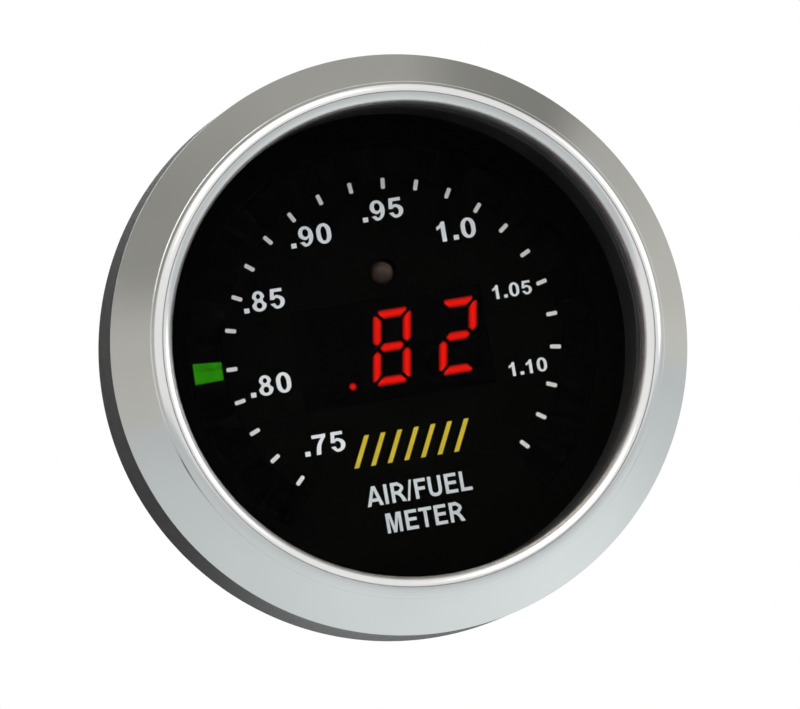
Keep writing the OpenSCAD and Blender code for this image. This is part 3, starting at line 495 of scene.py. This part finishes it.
def newTree(name, sizes):
    tree = bpy.data.node_groups.new(name, "GeometryNodeTree")
    for label, kind in (("Shape", "Geometry"), *((size, "Float") for size in sizes), ("finish", "Material")):
        tree.interface.new_socket(name=label, in_out="INPUT", socket_type="NodeSocket" + kind)
    tree.interface.new_socket(name="Shape", in_out="OUTPUT", socket_type="NodeSocketGeometry")
    return tree, addNode(tree, "NodeGroupInput").outputs


def closeTree(tree, given, shape):
    real = addNode(tree, "GeometryNodeRealizeInstances", links={0: shape})
    painted = addNode(tree, "GeometryNodeSetMaterial", links={"Geometry": real.outputs[0],
                                                             "Material": given["finish"]})
    addNode(tree, "NodeGroupOutput", links={0: painted.outputs[0]})


def grow(name, tree, sizes, finish, mesh=None):
    # runs a tree on a holder and keeps the result as a plain mesh
    piece = bpy.data.objects.new(name, mesh or bpy.data.meshes.new(name))
    scene.collection.objects.link(piece)
    modifier = piece.modifiers.new(tree.name, "NODES")
    modifier.node_group = tree
    values = dict(sizes, finish=finish)
    for socket in tree.interface.items_tree:
        if socket.in_out == "INPUT" and socket.name in values:
            modifier[socket.identifier] = values[socket.name]
    depsgraph = bpy.context.evaluated_depsgraph_get()
    grown = bpy.data.meshes.new_from_object(piece.evaluated_get(depsgraph))
    piece.modifiers.clear()
    piece.data = grown
    grown.name = name
    return piece


def math2(tree, operation, first, second):
    # one sum of two sockets or numbers
    node = addNode(tree, "ShaderNodeMath", {"operation": operation})
    for slot, value in enumerate((first, second)):
        if isinstance(value, (int, float)):
            node.inputs[slot].default_value = value
        else:
            tree.links.new(value, node.inputs[slot])
    return node.outputs[0]


def roundedLoop(corners):
    # closed outline from (x, y, corner radius) in mm: an arc between two holding points at each corner
    arcStep = 9                        # degrees
    longestHold, leastHold = 0.12, 0.02    # mm
    spots = [Vector(corner[:2]) for corner in corners]
    count = len(spots)
    edges = [spots[(i + 1) % count] - spots[i] for i in range(count)]
    halves = [(-edges[i - 1]).angle(edges[i]) / 2 for i in range(count)]
    reaches = [corners[i][2] / math.tan(halves[i]) for i in range(count)]
    spare = [edges[i].length - reaches[i] - reaches[(i + 1) % count] for i in range(count)]
    outline = []
    for i, (x, y, r) in enumerate(corners):
        if r == 0:
            outline.append(spots[i])
            continue
        back, ahead = -edges[i - 1].normalized(), edges[i].normalized()
        centre = spots[i] + (back + ahead).normalized() * r / math.sin(halves[i])
        first, last = (spots[i] + side * reaches[i] - centre for side in (back, ahead))
        steps = max(4, round(math.degrees(math.pi - 2 * halves[i]) / arcStep))
        turn = first.angle_signed(last)
        holdBack, holdAhead = (min(longestHold, spare[edge] / 3) for edge in (i - 1, i))
        if holdBack > leastHold:
            outline.append(centre + first + back * holdBack)
        for step in range(steps + 1):
            a = -turn * step / steps
            outline.append(centre + Vector((first.x * math.cos(a) - first.y * math.sin(a),
                                            first.x * math.sin(a) + first.y * math.cos(a))))
        if holdAhead > leastHold:
            outline.append(centre + last + ahead * holdAhead)
    return outline


# Bezel: one outline turned about the gauge's axis
bezelValues = {
    "segments": 288,
    "sweepRadius": 10,    # mm, of the circle that carries the outline round
    # radius, height and corner radius in mm, from the bore at the panel round to the step above the thread
    "outline": [
        (27.5, 0, 0.15), (30, 0, 0.3), (29.7, 10.2, 0.35), (26.2, 15.78, 0.3), (26.2, 17, 1.09),
        (24, 17, 1.09), (24, 15.2, 0.1), (25.6, 15.2, 0.1), (25.6, 11.1, 0), (27.5, 9.2, 0),
    ],
}


def makeBezel(values):
    tree, given = newTree("turnedRing", ["segments"])
    profile = addNode(tree, "GeometryNodeMeshToCurve", links={0: given["Shape"]})
    path = addNode(tree, "GeometryNodeCurvePrimitiveCircle", {"Radius": values["sweepRadius"] * mm},
                   {"Resolution": given["segments"]})
    swept = addNode(tree, "GeometryNodeCurveToMesh", links={"Curve": path.outputs[0],
                                                           "Profile Curve": profile.outputs[0]})
    closeTree(tree, given, swept.outputs[0])
    outline = roundedLoop(values["outline"])
    mesh = bpy.data.meshes.new("bezelOutline")
    count = len(outline)
    # the sweep lays an outline's x along the radius, and its y down the axis
    mesh.from_pydata([((p.x - values["sweepRadius"]) * mm, -p.y * mm, 0) for p in outline],
                     [(i, (i + 1) % count) for i in range(count)], [])
    sizes = {"segments": values["segments"]}
    piece = settle(grow("bezelRing", tree, sizes, finishes["satin_silver_bezel"], mesh))
    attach(piece, "bezel")
    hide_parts("bezel")


makeBezel(bezelValues)
print("bezel turned")


# Threads: a ridge that climbs one pitch a turn, right-handed
def ridgeNodes(tree, rootWidth, crestWidth, height, outwards, pitch, turns, radius):
    rise = math2(tree, "MULTIPLY", pitch, turns)
    spiral = addNode(tree, "GeometryNodeCurveSpiral", {"Resolution": 24, "Reverse": True},
                     {"Rotations": turns, "Start Radius": radius, "End Radius": radius, "Height": rise})
    upright = addNode(tree, "GeometryNodeSetCurveNormal", {"mode": "Z_UP"}, {0: spiral.outputs[0]})
    tooth = addNode(tree, "GeometryNodeCurvePrimitiveQuadrilateral", {"mode": "TRAPEZOID", "Offset": 0},
                    {"Bottom Width": rootWidth, "Top Width": crestWidth, "Height": height})
    aside = math.radians(-90 if outwards else 90)
    turned = addNode(tree, "GeometryNodeTransform", {"Rotation": (0, 0, aside)},
                     {"Geometry": tooth.outputs[0]})
    return addNode(tree, "GeometryNodeCurveToMesh", {"Fill Caps": True},
                   {"Curve": upright.outputs[0], "Profile Curve": turned.outputs[0]}).outputs[0]


threadValues = {
    # name: body and slot, then in mm the middle radius, ridge height, root and crest width and first height,
    # and at last the turns and whether the ridge points outwards
    "neckThread": ("case", "case_plastic", 27.3, 0.24, 0.62, 0.26, 0.45, 2.4, True),
    "bezelThread": ("bezel", "satin_silver_bezel", 27.39, 0.23, 0.62, 0.26, 1.2, 2, False),
}
bezelPitch = 1.5


def makeBezelThreads(values, pitch):
    for outwards in (True, False):
        tree, given = newTree("outerRidge" if outwards else "innerRidge",
                              ["pitch", "turns", "radius", "height", "rootWidth", "crestWidth", "start"])
        ridge = ridgeNodes(tree, given["rootWidth"], given["crestWidth"], given["height"], outwards,
                           given["pitch"], given["turns"], given["radius"])
        lift = addNode(tree, "ShaderNodeCombineXYZ", links={"Z": given["start"]})
        raised = addNode(tree, "GeometryNodeTransform",
                         links={"Geometry": ridge, "Translation": lift.outputs[0]})
        closeTree(tree, given, raised.outputs[0])
        for name, (body, slot, radius, height, rootWidth, crestWidth, start, turns, faces) in values.items():
            if faces != outwards:
                continue
            sizes = {"pitch": pitch * mm, "turns": float(turns), "radius": radius * mm, "height": height * mm,
                     "rootWidth": rootWidth * mm, "crestWidth": crestWidth * mm, "start": start * mm}
            piece = settle(grow(name, tree, sizes, finishes[slot]), 20)
            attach(piece, body)


makeBezelThreads(threadValues, bezelPitch)

studValues = {
    "coreRadius": 1.66, "crestRadius": 1.995, "pitch": 0.7, "endChamfer": 0.5,
    "backEnd": -49, "headBase": -24.8, "headHeight": 2.2, "headFlats": 7, "spacing": 32, "threadEnd": -25.4,
}


def makeStuds(values):
    # two studs from one tree: a core with a chamfered end, a helical ridge round it and a hexagon head
    rootShare, crestShare = 0.86, 0.16    # the ridge's widths as shares of the pitch
    rootSunk = 0.05                       # mm that the ridge's root lies inside the core
    sizes = {key: value * mm for key, value in values.items()}
    tree, given = newTree("threadedStud", list(sizes))
    length = math2(tree, "SUBTRACT", given["headBase"], given["backEnd"])
    barrelLength = math2(tree, "SUBTRACT", length, given["endChamfer"])
    core = addNode(tree, "GeometryNodeMeshCylinder", {"Vertices": 48},
                   {"Radius": given["coreRadius"], "Depth": barrelLength})
    tip = addNode(tree, "GeometryNodeMeshCone", {"Vertices": 48},
                  {"Radius Top": given["coreRadius"], "Depth": given["endChamfer"],
                   "Radius Bottom": math2(tree, "SUBTRACT", given["coreRadius"], given["endChamfer"])})
    head = addNode(tree, "GeometryNodeMeshCylinder", {"Vertices": 6},
                   {"Radius": math2(tree, "DIVIDE", given["headFlats"], 2 * math.cos(math.radians(30))),
                    "Depth": given["headHeight"]})
    threadStart = math2(tree, "ADD", given["backEnd"], given["endChamfer"])
    rise = math2(tree, "SUBTRACT", given["threadEnd"], threadStart)
    root = math2(tree, "SUBTRACT", given["coreRadius"], rootSunk * mm)
    ridge = ridgeNodes(tree, math2(tree, "MULTIPLY", given["pitch"], rootShare),
                       math2(tree, "MULTIPLY", given["pitch"], crestShare),
                       math2(tree, "SUBTRACT", given["crestRadius"], root), True, given["pitch"],
                       math2(tree, "DIVIDE", rise, given["pitch"]),
                       math2(tree, "MULTIPLY", math2(tree, "ADD", given["crestRadius"], root), 0.5))

    def raised(shape, height):
        lift = addNode(tree, "ShaderNodeCombineXYZ", links={"Z": height})
        return addNode(tree, "GeometryNodeTransform", links={"Geometry": shape,
                                                            "Translation": lift.outputs[0]}).outputs[0]

    half = math2(tree, "MULTIPLY", barrelLength, 0.5)
    joined = addNode(tree, "GeometryNodeJoinGeometry")
    for shape in (
        raised(core.outputs[0], math2(tree, "SUBTRACT", given["headBase"], half)),
        raised(tip.outputs[0], given["backEnd"]),
        raised(head.outputs[0], math2(tree, "ADD", given["headBase"],
                                      math2(tree, "MULTIPLY", given["headHeight"], 0.5))),
        raised(ridge, threadStart),
    ):
        tree.links.new(shape, joined.inputs[0])
    pair = addNode(tree, "GeometryNodeMeshLine", {"Count": 2})
    for socket, factor in (("Start Location", -0.5), ("Offset", 1)):
        reach = math2(tree, "MULTIPLY", given["spacing"], factor)
        spot = addNode(tree, "ShaderNodeCombineXYZ", links={"Y": reach})
        tree.links.new(spot.outputs[0], pair.inputs[socket])
    placed = addNode(tree, "GeometryNodeInstanceOnPoints",
                     links={"Points": pair.outputs[0], "Instance": joined.outputs[0]})
    closeTree(tree, given, placed.outputs[0])
    piece = settle(grow("threadedStuds", tree, sizes, finishes["plated_steel"]), 25)
    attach(piece, "case")
    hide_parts("mounting_studs")


makeStuds(studValues)
print("threads cut")


# Dial print: numerals, a plain legend, an accent of slanted bars, and the scale's dashes
# A glyph is its advance and its outlines, in shares of its height; a third number marks a smooth point
def oval(x, y, wide, high):
    return [(x + wide, y, 1), (x, y + high, 1), (x - wide, y, 1), (x, y - high, 1)]


glyphs = {
    ".": (0.34, [[(0.05, 0), (0.29, 0), (0.29, 0.24), (0.05, 0.24)]]),
    "0": (0.78, [[(0.39, 1.015, 1), (0.13, 0.86, 1), (0.055, 0.5, 1), (0.13, 0.14, 1), (0.39, -0.015, 1),
                  (0.65, 0.14, 1), (0.725, 0.5, 1), (0.65, 0.86, 1)],
                 [(0.39, 0.865, 1), (0.285, 0.74, 1),
                  (0.255, 0.5, 1), (0.285, 0.26, 1), (0.39, 0.135, 1), (0.495, 0.26, 1), (0.525, 0.5, 1),
                  (0.495, 0.74, 1)]]),
    "1": (0.72, [[(0.5, 0), (0.295, 0), (0.295, 0.71), (0.1, 0.6), (0.1, 0.775), (0.25, 0.865, 1),
                  (0.34, 1.01), (0.5, 1.01)]]),
    "5": (0.78, [[(0.145, 1), (0.665, 1), (0.665, 0.83), (0.3, 0.83), (0.275, 0.64), (0.41, 0.675, 1),
                  (0.735, 0.34, 1), (0.385, -0.015, 1), (0.055, 0.26), (0.255, 0.285), (0.385, 0.135, 1),
                  (0.53, 0.335, 1), (0.39, 0.53, 1), (0.245, 0.45), (0.075, 0.475)]]),
    "7": (0.76, [[(0.065, 1), (0.7, 1), (0.7, 0.86), (0.47, 0.49, 1), (0.385, 0), (0.175, 0),
                  (0.265, 0.46, 1), (0.48, 0.825), (0.065, 0.825)]]),
    "8": (0.78, [[(0.39, 1.015, 1), (0.115, 0.75, 1), (0.2, 0.535, 1), (0.06, 0.28, 1), (0.39, -0.015, 1),
                  (0.72, 0.28, 1), (0.58, 0.535, 1), (0.665, 0.75, 1)],
                 oval(0.39, 0.74, 0.1, 0.125),
                 oval(0.39, 0.285, 0.13, 0.155)]),
    "9": (0.78, [[(0.075, 0.22), (0.275, 0.245), (0.37, 0.135, 1), (0.475, 0.21, 1), (0.52, 0.41),
                  (0.34, 0.32, 1), (0.055, 0.665, 1), (0.38, 1.015, 1), (0.725, 0.52, 1),
                  (0.36, -0.015, 1)],
                 oval(0.385, 0.67, 0.135, 0.195)]),
    "/": (0.42, [[(0.02, -0.02), (0.16, -0.02), (0.4, 1.02), (0.26, 1.02)]]),
    "A": (0.98, [[(0, 0), (0.38, 1), (0.6, 1), (0.98, 0), (0.765, 0), (0.69, 0.215), (0.29, 0.215),
                  (0.215, 0)],
                 [(0.35, 0.38), (0.63, 0.38), (0.49, 0.79)]]),
    "E": (0.9, [[(0.1, 0), (0.1, 1), (0.82, 1), (0.82, 0.83), (0.305, 0.83), (0.305, 0.61), (0.78, 0.61),
                  (0.78, 0.44), (0.305, 0.44), (0.305, 0.17), (0.84, 0.17), (0.84, 0)]]),
    "F": (0.82, [[(0.1, 0), (0.1, 1), (0.79, 1), (0.79, 0.83), (0.305, 0.83), (0.305, 0.59), (0.72, 0.59),
                  (0.72, 0.42), (0.305, 0.42), (0.305, 0)]]),
    "I": (0.4, [[(0.1, 0), (0.1, 1), (0.305, 1), (0.305, 0)]]),
    "L": (0.82, [[(0.1, 0), (0.1, 1), (0.305, 1), (0.305, 0.17), (0.8, 0.17), (0.8, 0)]]),
    "M": (1.14, [[(0.1, 0), (0.1, 1), (0.4, 1), (0.57, 0.32), (0.74, 1), (1.04, 1), (1.04, 0), (0.85, 0),
                  (0.85, 0.78), (0.665, 0), (0.475, 0), (0.29, 0.78), (0.29, 0)]]),
    "R": (0.98, [[(0.1, 0), (0.1, 1), (0.56, 1), (0.87, 0.71, 1), (0.68, 0.43), (0.8, 0.3, 1), (0.98, 0),
                  (0.73, 0), (0.57, 0.29, 1), (0.4, 0.4), (0.305, 0.4), (0.305, 0)],
                 [(0.305, 0.83),
                  (0.53, 0.83), (0.665, 0.7, 1), (0.53, 0.565), (0.305, 0.565)]]),
    "T": (0.84, [[(0.32, 0), (0.32, 0.83), (0.03, 0.83), (0.03, 1), (0.82, 1), (0.82, 0.83),
                  (0.525, 0.83), (0.525, 0)]]),
    "U": (0.98, [[(0.09, 1), (0.295, 1), (0.295, 0.42), (0.34, 0.2, 1), (0.49, 0.15, 1), (0.64, 0.2, 1),
                  (0.685, 0.42), (0.685, 1), (0.89, 1), (0.89, 0.38), (0.8, 0.09, 1), (0.49, -0.02, 1),
                  (0.18, 0.09, 1), (0.09, 0.38)]]),
}

printValues = {
    "inkBase": 4.394, "inkThickness": 0.03,   # mm; real screen ink is a third of that
    "numerals": [  # words, middle x, middle y, height, all in mm on the dial
        (".75", -8.76, -8.55, 2.06), (".80", -13.21, -1.67, 2.06), (".85", -12.43, 6.96, 2.06),
        (".90", -6.48, 12.78, 2.06), (".95", 1.31, 14.24, 2.06), ("1.0", 8.51, 10.98, 2.06),
        ("1.05", 13.19, 3.92, 1.42), ("1.10", 13.44, -4.2, 1.42),
    ],
    "numeralWidth": 1.1, "numeralGap": 0.05,
    "legend": [("AIR/FUEL", 0.1, -14.7, 2.05), ("METER", 0.15, -17.7, 2.05)],
    "legendWidth": 0.84, "legendGap": 0.02,
    "accentMiddle": (0.15, -10.0), "accentBars": 7, "accentPitch": 1.75, "accentBarWidth": 0.5,
    "accentHeight": 3.2, "accentSlant": 0.5,
}


def inkPiece(name, outlines, values, finish):
    # closed outlines in mm become one thin sheet of ink
    curve = bpy.data.curves.new(name, "CURVE")
    curve.dimensions = "2D"
    curve.fill_mode = "BOTH"
    curve.resolution_u = 6
    curve.extrude = values["inkThickness"] / 2 * mm
    for outline in outlines:
        spline = curve.splines.new("BEZIER")
        spline.bezier_points.add(len(outline) - 1)
        spline.use_cyclic_u = True
        for knot, (x, y, *smooth) in zip(spline.bezier_points, outline):
            knot.co = (x * mm, y * mm, 0)
            knot.handle_left_type = knot.handle_right_type = "AUTO" if smooth else "VECTOR"
    drawn = bpy.data.objects.new(name, curve)
    scene.collection.objects.link(drawn)
    depsgraph = bpy.context.evaluated_depsgraph_get()
    mesh = bpy.data.meshes.new_from_object(drawn.evaluated_get(depsgraph))
    bpy.data.objects.remove(drawn)
    mesh.transform(Matrix.Translation((0, 0, (values["inkBase"] + values["inkThickness"] / 2) * mm)))
    mesh.materials.clear()
    mesh.materials.append(finish)
    piece = bpy.data.objects.new(name, mesh)
    scene.collection.objects.link(piece)
    settle(piece, 30)
    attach(piece, "case")
    return piece


def wordOutlines(words, middleX, middleY, height, wide, gap):
    # a word's outlines, centred on its place
    total = sum(glyphs[letter][0] + gap for letter in words) - gap
    pen = -total / 2
    outlines = []
    for letter in words:
        advance, shapes = glyphs[letter]
        outlines += [[(middleX + (pen + x) * height * wide, middleY + (y - 0.5) * height, *smooth)
                      for x, y, *smooth in shape] for shape in shapes]
        pen += advance + gap
    return outlines


def printDial(values):
    numerals = []
    for words, x, y, height in values["numerals"]:
        numerals += wordOutlines(words, x, y, height, values["numeralWidth"], values["numeralGap"])
    inkPiece("dialNumerals", numerals, values, coolInk)
    legend = []
    for words, x, y, height in values["legend"]:
        legend += wordOutlines(words, x, y, height, values["legendWidth"], values["legendGap"])
    inkPiece("dialLegend", legend, values, greyInk)
    middleX, middleY = values["accentMiddle"]
    high, wide, lean = (values[key] for key in ("accentHeight", "accentBarWidth", "accentSlant"))
    accent = []
    for k in range(values["accentBars"]):
        x = middleX + (k - (values["accentBars"] - 1) / 2) * values["accentPitch"]
        accent.append([(x + side * wide / 2 + lean * end * high / 2, middleY + end * high / 2)
                       for side, end in ((-1, -1), (1, -1), (1, 1), (-1, 1))])
    inkPiece("dialAccent", accent, values, yellowInk)


# white screen ink with a blue cast, as the numerals show, and a painted glow that brightens it
coolInk = moulded("coolWhiteScreenInk", "#EEF7FF", "#F6FBFF", 0.55, 0.12, 0.002, patchMm=1.5, glow=0.12)
# the same ink laid thinner, so the black dulls it, with a painted glow that brightens it
greyInk = moulded("greyScreenInk", "#DDE8F0", "#E8F0F6", 0.55, 0.12, 0.002, patchMm=1.5, glow=0.08)
# chrome yellow screen ink, slightly uneven, with a painted glow that brightens it
yellowInk = moulded("yellowScreenInk", "#DCC41C", "#E8D02C", 0.55, 0.12, 0.002, patchMm=1.2, glow=0.08)
printDial(printValues)

scaleValues = {
    "radius": 16.885, "centreX": 0.02, "centreY": 0.13,
    "count": 24, "start": 225.3, "step": 11.64, "sectorGap": 1.8, "firstSector": 5, "lastSector": 3,
    "dashLength": 1.13, "dashWidth": 0.42, "cornerRadius": 0.13, "inkBase": 4.394, "inkThickness": 0.03,
}


def makeScale(values):
    # dashes on an arc, with a wider step where a sector of the scale ends
    lengths = ("radius", "centreX", "centreY", "dashLength", "dashWidth", "cornerRadius", "inkBase",
               "inkThickness")
    tree, given = newTree("scaleDashes", list(values))
    row = addNode(tree, "GeometryNodeMeshLine", links={"Count": given["count"]})
    index = addNode(tree, "GeometryNodeInputIndex").outputs[0]
    pastFirst = math2(tree, "GREATER_THAN", index, math2(tree, "SUBTRACT", given["firstSector"], 0.5))
    pastLast = math2(tree, "GREATER_THAN", index, math2(tree, "SUBTRACT", given["count"],
                                                        math2(tree, "ADD", given["lastSector"], 0.5)))
    gaps = math2(tree, "MULTIPLY", math2(tree, "ADD", pastFirst, pastLast), given["sectorGap"])
    degrees = math2(tree, "SUBTRACT", math2(tree, "SUBTRACT", given["start"],
                                            math2(tree, "MULTIPLY", index, given["step"])), gaps)
    angle = math2(tree, "RADIANS", degrees, 0)
    across = math2(tree, "MULTIPLY", given["radius"], math2(tree, "COSINE", angle, 0))
    along = math2(tree, "MULTIPLY", given["radius"], math2(tree, "SINE", angle, 0))
    spot = addNode(tree, "ShaderNodeCombineXYZ", links={"X": math2(tree, "ADD", across, given["centreX"]),
                                                       "Y": math2(tree, "ADD", along, given["centreY"]),
                                                       "Z": given["inkBase"]})
    placed = addNode(tree, "GeometryNodeSetPosition",
                     links={"Geometry": row.outputs[0], "Position": spot.outputs[0]})
    dash = addNode(tree, "GeometryNodeCurvePrimitiveQuadrilateral",
                   links={"Width": given["dashLength"], "Height": given["dashWidth"]})
    rounded = addNode(tree, "GeometryNodeFilletCurve", {"mode": "POLY", "Count": 3},
                      {"Curve": dash.outputs[0], "Radius": given["cornerRadius"]})
    filled = addNode(tree, "GeometryNodeFillCurve", {"mode": "NGONS"}, {"Curve": rounded.outputs[0]})
    raised = addNode(tree, "GeometryNodeExtrudeMesh", {"Individual": False},
                     {"Mesh": filled.outputs[0], "Offset Scale": given["inkThickness"]})
    closed = addNode(tree, "GeometryNodeJoinGeometry")
    flipped = addNode(tree, "GeometryNodeFlipFaces", links={0: filled.outputs[0]})
    for shape in (raised.outputs[0], flipped.outputs[0]):
        tree.links.new(shape, closed.inputs[0])
    turn = addNode(tree, "ShaderNodeCombineXYZ", links={"Z": angle})
    dashes = addNode(tree, "GeometryNodeInstanceOnPoints",
                     links={"Points": placed.outputs[0], "Instance": closed.outputs[0],
                            "Rotation": turn.outputs[0]})
    closeTree(tree, given, dashes.outputs[0])
    sizes = {key: value * mm if key in lengths else float(value) for key, value in values.items()}
    piece = settle(grow("scaleDashes", tree, sizes, finishes["dial_print"]), 30)
    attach(piece, "case")
    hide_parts("scale_marks")


makeScale(scaleValues)
print("dial printed")


# Lit segments of the digits, and the lit decimal point
digitValues = {
    "shown": [(0.01, "0123456"), (6.98, "01643")],    # middle of a digit in mm, and its lit segments
    "middleY": 0.2, "wide": 4.13, "high": 7.8, "stroke": 1, "gap": 0.19, "rounding": 0.24, "slant": 10,
    "point": (-4.72, -3.22, 0.42),                    # x, y and radius
    "front": 3.612, "back": 2.9,                      # just proud of the display's face
    "rings": 4, "innermost": 0.98,                    # share of the way in to a segment's middle line
    "endReach": 0.6,                                  # that line's ends, in strokes from a corner
}


def segmentPlan(index, values):
    # corners of one segment and the two ends of its middle line; 0 is the top one, 6 the middle one
    w, h = values["wide"] / 2, values["high"] / 2
    t, g, reach = values["stroke"], values["gap"], values["endReach"]
    if index in "03":
        corners = [(g - w, h), (w - g, h), (w - t - g, h - t), (t + g - w, h - t)]
        ends = [(t * reach + g - w, h - t / 2), (w - g - t * reach, h - t / 2)]
    elif index == "6":
        corners = [(w - t / 2 - g, 0), (w - t - g, t / 2), (t + g - w, t / 2), (t / 2 + g - w, 0),
                   (t + g - w, -t / 2), (w - t - g, -t / 2)]
        ends = [(t + g - w, 0), (w - t - g, 0)]
    else:
        corners = [(w, h - g), (w, t / 2 + g), (w - t / 2, g), (w - t, t / 2 + g), (w - t, h - t - g)]
        ends = [(w - t / 2, h - g - t * reach), (w - t / 2, t / 2 + g)]
    flipX = -1 if index in "45" else 1
    flipY = -1 if index in "234" else 1
    return [[(flipX * x, flipY * y) for x, y in points] for points in (corners, ends)]


def ringedBody(shape, core, outline, ends, slope, place, values):
    # a body whose face is built of rings, so that it can glow from its middle line outwards
    first, last = (Vector(end) for end in ends)
    line = last - first
    rings = []
    for height, inward in [(values["back"], 0)] + [(values["front"], k / values["rings"])
                                                   for k in range(values["rings"] + 1)]:
        ring = []
        for spot in outline:
            share = min(1, max(0, (spot - first).dot(line) / line.length_squared)) if line.length else 0
            x, y = spot.lerp(first + line * share, inward * values["innermost"])
            vertex = shape.verts.new(((place[0] + x + y * slope) * mm, (place[1] + y) * mm, height * mm))
            vertex[core] = inward
            ring.append(vertex)
        rings.append(ring)
    count = len(outline)
    for outer, inner in zip(rings, rings[1:]):
        for i in range(count):
            shape.faces.new((outer[i], outer[(i + 1) % count], inner[(i + 1) % count], inner[i]))
    shape.faces.new(rings[0][::-1])
    shape.faces.new(rings[-1])


def makeSegments(values):
    shape = bmesh.new()
    core = shape.verts.layers.float.new("core")
    slope = math.tan(math.radians(values["slant"]))
    for middle, lit in values["shown"]:
        for index in lit:
            corners, ends = segmentPlan(index, values)
            outline = roundedLoop([(x, y, values["rounding"]) for x, y in corners])
            ringedBody(shape, core, outline, ends, slope, (middle, values["middleY"]), values)
    x, y, radius = values["point"]
    sides = 32
    circle = [Vector((radius * math.cos(turn), radius * math.sin(turn)))
              for turn in (2 * math.pi * k / sides for k in range(sides))]
    ringedBody(shape, core, circle, [(0, 0), (0, 0)], 0, (x, y), values)
    mesh = bpy.data.meshes.new("litSegments")
    shape.to_mesh(mesh)
    shape.free()
    mesh.materials.append(finishes["red_light"])
    piece = bpy.data.objects.new("litSegments", mesh)
    scene.collection.objects.link(piece)
    settle(piece, 30)
    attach(piece, "case")
    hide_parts("segments_lit")


makeSegments(digitValues)
print("digits lit")
